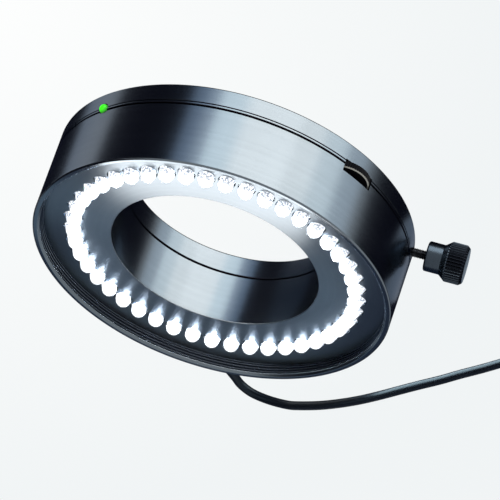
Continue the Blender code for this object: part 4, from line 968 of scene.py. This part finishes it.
for number, post_angle in enumerate(POST_ANGLES, start=1):
    head = np.array((
        (0.0, RING_HEIGHT - SOCKET_DEPTH), (SOCKET_RADIUS, RING_HEIGHT - SOCKET_DEPTH),
        (SOCKET_RADIUS, RING_HEIGHT), (HEAD_RADIUS - 0.0001, RING_HEIGHT),
        (HEAD_RADIUS, RING_HEIGHT - 0.0001), (SHANK_RADIUS, RING_HEIGHT - 0.0014),
        (SHANK_RADIUS, RING_HEIGHT - SCREW_LENGTH), (0.0, RING_HEIGHT - SCREW_LENGTH),
    ))
    post_at = heading(post_angle) * POST_CIRCLE
    cover_screw = lathe(f"cover_screw_head_{number}", head, 48, at=post_at, ripple=hexagon)
    cover_screw.data.materials.append(black_steel.material)
    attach(cover_screw, "ring")
    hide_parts(f"cover_screw_{number}")


# Plug: barrel plug on the cord's end. Moulded grip with finger ridges, nickel-plated barrel, and the
# insulated contact inside it.
plug_end = cord_path[-1]
plug_axes = (heading(COIL_START + math.pi), np.array((0.0, 0.0, 1.0)), coil_heading)
PLUG_START = CORD_GAP
PLUG_BODY = PLUG_START + 0.007
PLUG_END = PLUG_BODY + 0.016
SEAT_RADIUS = 0.00305
plug_outline = [(0.0, PLUG_START), (0.0023, PLUG_START), (0.0024, PLUG_START + 0.0004)]
for number in range(4):
    plug_outline += rib(0.0025 + 0.00012 * number, PLUG_START + 0.001 + RIB_STEP * number, 0.0004)
plug_outline += [(0.003, PLUG_BODY), (PLUG_RADIUS - 0.0006, PLUG_BODY), (PLUG_RADIUS, PLUG_BODY + 0.0006)]
for number in range(5):
    near = PLUG_BODY + 0.002 + 0.0018 * number
    cut = PLUG_RADIUS - 0.0003
    plug_outline += [
        (PLUG_RADIUS, near), (cut, near + 0.0003), (cut, near + 0.0009), (PLUG_RADIUS, near + 0.0012),
    ]
plug_outline += [
    (PLUG_RADIUS, PLUG_END - 0.0006), (PLUG_RADIUS - 0.0006, PLUG_END), (SEAT_RADIUS, PLUG_END),
    (SEAT_RADIUS, PLUG_END - 0.002), (0.0, PLUG_END - 0.002),
]
plastic = grained(
    "black_plastic", (0.012, 0.012, 0.014), (0.026, 0.026, 0.030), 0.42, 0.14, (2600.0, 3.0),
    (0.35, 0.00006),
)
plug = lathe("plug_grip", rounded(plug_outline, 0.00015), 64, axes=plug_axes, at=plug_end)
plug.data.materials.append(plastic.material)
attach(plug, "ring")
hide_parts("plug_body")

nickel = grained(
    "nickel", (0.62, 0.60, 0.56), (0.74, 0.72, 0.69), 0.16, 0.14, (1200.0, 2.0), (0.08, 0.00002), 1.0,
)
BARREL_START = PLUG_END - 0.0017
BARREL_END = PLUG_END + 0.0095
BARREL_RADIUS = 0.00275
BARREL_BORE = 0.0019
barrel_outline = rounded([
    (0.0, BARREL_START), (BARREL_RADIUS, BARREL_START), (BARREL_RADIUS, BARREL_END),
    (BARREL_BORE, BARREL_END), (BARREL_BORE, BARREL_START + 0.002), (0.0, BARREL_START + 0.002),
], 0.00015)
barrel = lathe("plug_sleeve", barrel_outline, 64, axes=plug_axes, at=plug_end)
barrel.data.materials.append(nickel.material)
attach(barrel, "ring")
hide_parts("plug_barrel")


# Parts inside the case and in the plug keep their modelled shapes: boards with solder mask over copper,
# chips, ferrite, terminal, wires and small screws, each in the material of its kind.
def inside(name, first, second, rough, metal=0.0, scale=700.0, bump=0.2):
    """Plain finish for a small part, in a grain of its own scale."""
    return grained(name, first, second, rough, 0.12, (scale, 3.0), (bump, 0.00005), metal)


mask = Finish("green_board")
tracks = mask.make("ShaderNodeTexBrick", {"offset": 0.5}, {
    "Vector": mask.place(), "Scale": 260.0, "Mortar Size": 0.02, "Color1": (0.010, 0.085, 0.030),
    "Color2": (0.014, 0.110, 0.040), "Mortar": (0.045, 0.200, 0.075),
})
mask.set(
    Base_Color=mask.mix(0.35 * mask.noise(mask.place(), 90.0), tracks, (0.02, 0.13, 0.05)),
    Roughness=0.30 + 0.1 * mask.noise(mask.place(), 500.0),
    Normal=mask.bump(mask.noise(mask.place(), 900.0), 0.1, 0.00004),
)
ferrite = inside("ferrite_grey", (0.070, 0.070, 0.078), (0.120, 0.120, 0.130), 0.62, 0.0, 1500.0, 0.5)
bare_aluminium = inside("bare_aluminium", (0.70, 0.71, 0.73), (0.82, 0.83, 0.85), 0.22, 1.0, 900.0, 0.1)
finishes = {
    "led_board": mask, "driver_board": mask, "board_header": plastic, "status_led_holder": plastic,
    "plug_contact": plastic, "power_inductor": ferrite, "smoothing_capacitor": bare_aluminium,
    "driver_chip": inside("chip_black", (0.016, 0.016, 0.017), (0.028, 0.028, 0.030), 0.50),
    "supply_terminal": inside("terminal_white", (0.66, 0.65, 0.60), (0.76, 0.75, 0.71), 0.46),
    "dimmer_pot": inside("potentiometer_blue", (0.020, 0.060, 0.240), (0.035, 0.095, 0.320), 0.40),
    "supply_wire_red": inside("wire_red", (0.34, 0.018, 0.018), (0.48, 0.035, 0.030), 0.42),
    "supply_wire_black": inside("wire_black", (0.014, 0.014, 0.015), (0.024, 0.024, 0.026), 0.42),
}
for number in range(1, 4):
    finishes[f"board_screw_{number}"] = steel
    finishes[f"driver_screw_{number}"] = steel
for node, made in finishes.items():
    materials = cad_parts[node].data.materials
    materials.clear()
    materials.append(made.material)


# Table: a pale matt sheet under the rim. It shows to the camera from above, with the object's shadow on
# it, and lets light and the view from below through to the lamps.
bpy.ops.mesh.primitive_plane_add(size=6.0, location=(0.0, 0.0, -0.00005))
table = bpy.context.object
table.name = "table"
sheet = Finish("pale_table")
paths = sheet.make("ShaderNodeLightPath").link.node
seen = Socket(sheet, paths.outputs["Is Camera Ray"])
behind = Socket(sheet, sheet.make("ShaderNodeNewGeometry").link.node.outputs["Backfacing"])
sheet.set(Base_Color=(0.80, 0.805, 0.81), Roughness=0.85, Specular_IOR_Level=0.1)
clear = sheet.make("ShaderNodeBsdfTransparent")
ends = sheet.make("ShaderNodeMixShader", None, {0: seen * (1.0 - behind), 1: clear})
sheet.links.new(sheet.shader.outputs[0], ends.link.node.inputs[2])
sheet.links.new(ends.link, sheet.nodes["Material Output"].inputs["Surface"])
table.data.materials.append(sheet.material)


# Studio: a near-white sweep all round, as the camera, metal and clear resin see it, and a soft grey fill for
# the rest. Seven graded strip lamps stand in an arc at the front and right, one at the left, and cards that
# only reflections see shape the metal's highlights.
class Sky(Finish):
    """A world whose nodes come from the same method."""

    def __init__(self, name):
        self.world = bpy.data.worlds.new(name)
        self.world.use_nodes = True
        self.nodes = self.world.node_tree.nodes
        self.links = self.world.node_tree.links
        self.nodes.clear()


sky = Sky("studio")
bpy.context.scene.world = sky.world
rays = sky.make("ShaderNodeLightPath").link.node.outputs
seen_rays = Socket(sky, rays["Is Camera Ray"])
for ray in ("Is Glossy Ray", "Is Transmission Ray"):
    seen_rays = seen_rays.math("MAXIMUM", seen_rays, Socket(sky, rays[ray]))
pale_corner = tuple((FORWARD - RIGHT * 0.043 + UP * 0.043).normalized())
corner_values = {0: sky.make("ShaderNodeTexCoord"), 1: pale_corner}
from_corner = sky.make("ShaderNodeVectorMath", {"operation": "DISTANCE"}, corner_values, output=1)
shade = sky.make("ShaderNodeMapRange", None, {"Value": from_corner, "From Max": 0.09})
sweep_colour = sky.mix(shade, (0.983, 0.992, 0.988), (0.875, 0.905, 0.913))
sweep = sky.make("ShaderNodeBackground", None, {"Color": sweep_colour})
fill = sky.make("ShaderNodeBackground", None, {"Color": (0.92, 0.96, 1.0), "Strength": 0.45})
chosen = sky.make("ShaderNodeMixShader", None, {0: seen_rays, 1: fill, 2: sweep})
world_output = sky.nodes.new("ShaderNodeOutputWorld")
sky.feed(world_output.inputs["Surface"], chosen)


def on_dome(azimuth, elevation, distance):
    """Point on a dome round the ring, by its azimuth from +X and its elevation from the table."""
    turn, lift = math.radians(azimuth), math.radians(elevation)
    level = math.cos(lift)
    return Vector((math.cos(turn) * level, math.sin(turn) * level, math.sin(lift))) * distance


def softbox(name, azimuth, elevation, distance, width, height, radiance, colour):
    """Rectangular lamp of an even radiance, facing the ring."""
    lamp = bpy.data.lights.new(name, "AREA")
    lamp.shape = "RECTANGLE"
    lamp.size = width
    lamp.size_y = height
    lamp.energy = radiance * math.pi * width * height
    lamp.color = colour
    made = bpy.data.objects.new(name, lamp)
    place = on_dome(azimuth, elevation, distance)
    made.location = place
    made.rotation_mode = "QUATERNION"
    made.rotation_quaternion = place.to_track_quat("Z", "Y")
    made.visible_camera = False
    bpy.context.scene.collection.objects.link(made)


FIRST_STRIP = -119.0
STRIP_TURN = 17.0
STRIP_ELEVATION = 33.0
STRIP_DISTANCE = 1.6
STRIP_WIDTH = 0.405
STRIP_HEIGHT = 1.1
KEY_STRIPS = (
    (1.1, (0.55, 0.74, 1.00)), (3.3, (0.90, 1.00, 1.00)), (4.3, (1.00, 0.97, 0.90)),
    (4.4, (1.00, 0.97, 0.90)), (3.8, (1.00, 0.98, 0.91)), (2.9, (0.93, 1.00, 0.98)),
    (1.25, (0.76, 0.90, 1.00)),
)
for number, (radiance, colour) in enumerate(KEY_STRIPS):
    azimuth = STRIP_TURN * number + FIRST_STRIP
    softbox(
        f"key_softbox_{number + 1}", azimuth, STRIP_ELEVATION, STRIP_DISTANCE, STRIP_WIDTH, STRIP_HEIGHT,
        radiance, colour,
    )
softbox("left_strip", 169.0, 32.0, 0.5, 0.22, 0.4, 1.2, (1.0, 1.0, 1.0))


def card(name, place, facing, width, height, tone, one_sided=False):
    """Card that only reflections see, with its front towards `facing`, in an even tone from black cloth to
    a bright lit sheet. A one-sided card is clear from behind."""
    bpy.ops.mesh.primitive_plane_add(size=1.0)
    sheet_piece = bpy.context.object
    sheet_piece.name = name
    sheet_piece.location = place
    sheet_piece.rotation_mode = "QUATERNION"
    sheet_piece.rotation_quaternion = Vector(facing).to_track_quat("Z", "Y")
    sheet_piece.scale = (width, height, 1.0)
    cloth = Finish(name)
    cloth.set(
        Base_Color=(0.0, 0.0, 0.0),
        Roughness=1.0,
        Specular_IOR_Level=0.0,
        Emission_Color=tone,
        Emission_Strength=1.0,
    )
    if one_sided:
        back = Socket(cloth, cloth.make("ShaderNodeNewGeometry").link.node.outputs["Backfacing"])
        clear_back = cloth.make("ShaderNodeBsdfTransparent")
        either = cloth.make("ShaderNodeMixShader", None, {0: back, 2: clear_back})
        cloth.links.new(cloth.shader.outputs[0], either.link.node.inputs[1])
        cloth.links.new(either.link, cloth.nodes["Material Output"].inputs["Surface"])
    sheet_piece.data.materials.append(cloth.material)
    for ray in ("camera", "diffuse", "shadow", "transmission", "volume_scatter"):
        setattr(sheet_piece, f"visible_{ray}", False)
    return sheet_piece


CARD_DISTANCE = 2.0
BLACK_CLOTH = (0.01, 0.01, 0.025)
LIT_SHEET = (8.8, 8.4, 7.8)
dome_cards = [
    (f"black_card_{number}", azimuth, 30.0, 1.1, 2.6, BLACK_CLOTH)
    for number, azimuth in enumerate((-162.0, -136.0, 17.0, 46.0, 77.0, 108.0, 139.0, 170.0), start=1)
]
dome_cards += [
    ("black_card_above", 0.0, 90.0, 2.4, 2.4, BLACK_CLOTH),
    ("grey_card_behind_below", 98.0, -32.0, 2.6, 2.0, (0.10, 0.13, 0.20)),
    ("black_card_left_below", 170.0, -32.0, 2.4, 2.0, BLACK_CLOTH),
]
for name, azimuth, elevation, width, height, tone in dome_cards:
    place = on_dome(azimuth, elevation, CARD_DISTANCE)
    card(name, place, place, width, height, tone)
flat = (0.0, 0.0, 1.0)
card("white_card", (-0.0158, -0.0096, -0.017), flat, 0.066, 0.030, LIT_SHEET)
card("white_card_under_rim", (-0.0085, -0.0293, -0.017), flat, 0.084, 0.0094, LIT_SHEET)
annulus = card("grey_annulus_card", (-0.0133, 0.034, -0.0175), flat, 1.0, 1.0, (0.62, 0.80, 0.94)).data
around = np.linspace(0.0, 2.0 * math.pi, 97)
circle = np.stack((np.cos(around), np.sin(around), around * 0.0), axis=1)
annulus.clear_geometry()
annulus.from_pydata(np.vstack((circle * 0.031, circle * 0.0435)).tolist(), [], grid_faces(2, 97).tolist())
card("grey_card_by_margin", (-0.066, 0.018, -0.0175), flat, 0.020, 0.034, (0.42, 0.56, 0.68))
over_bore = (0.85, -0.07, -0.52)
card("grey_card_over_bore", (-0.054, 0.030, 0.055), over_bore, 0.05, 0.036, (0.04, 0.06, 0.10))
by_face = (-0.12, -0.84, -0.52)
card("grey_card_by_face", (0.0685, 0.021, 0.0388), by_face, 0.03, 0.03, (0.75, 0.78, 0.80))
by_cord = (0.725, 0.688, 0.0)
card("white_card_by_cord", (0.054, 0.024, 0.011), by_cord, 0.07, 0.024, (7.4, 9.2, 9.8), one_sided=True)
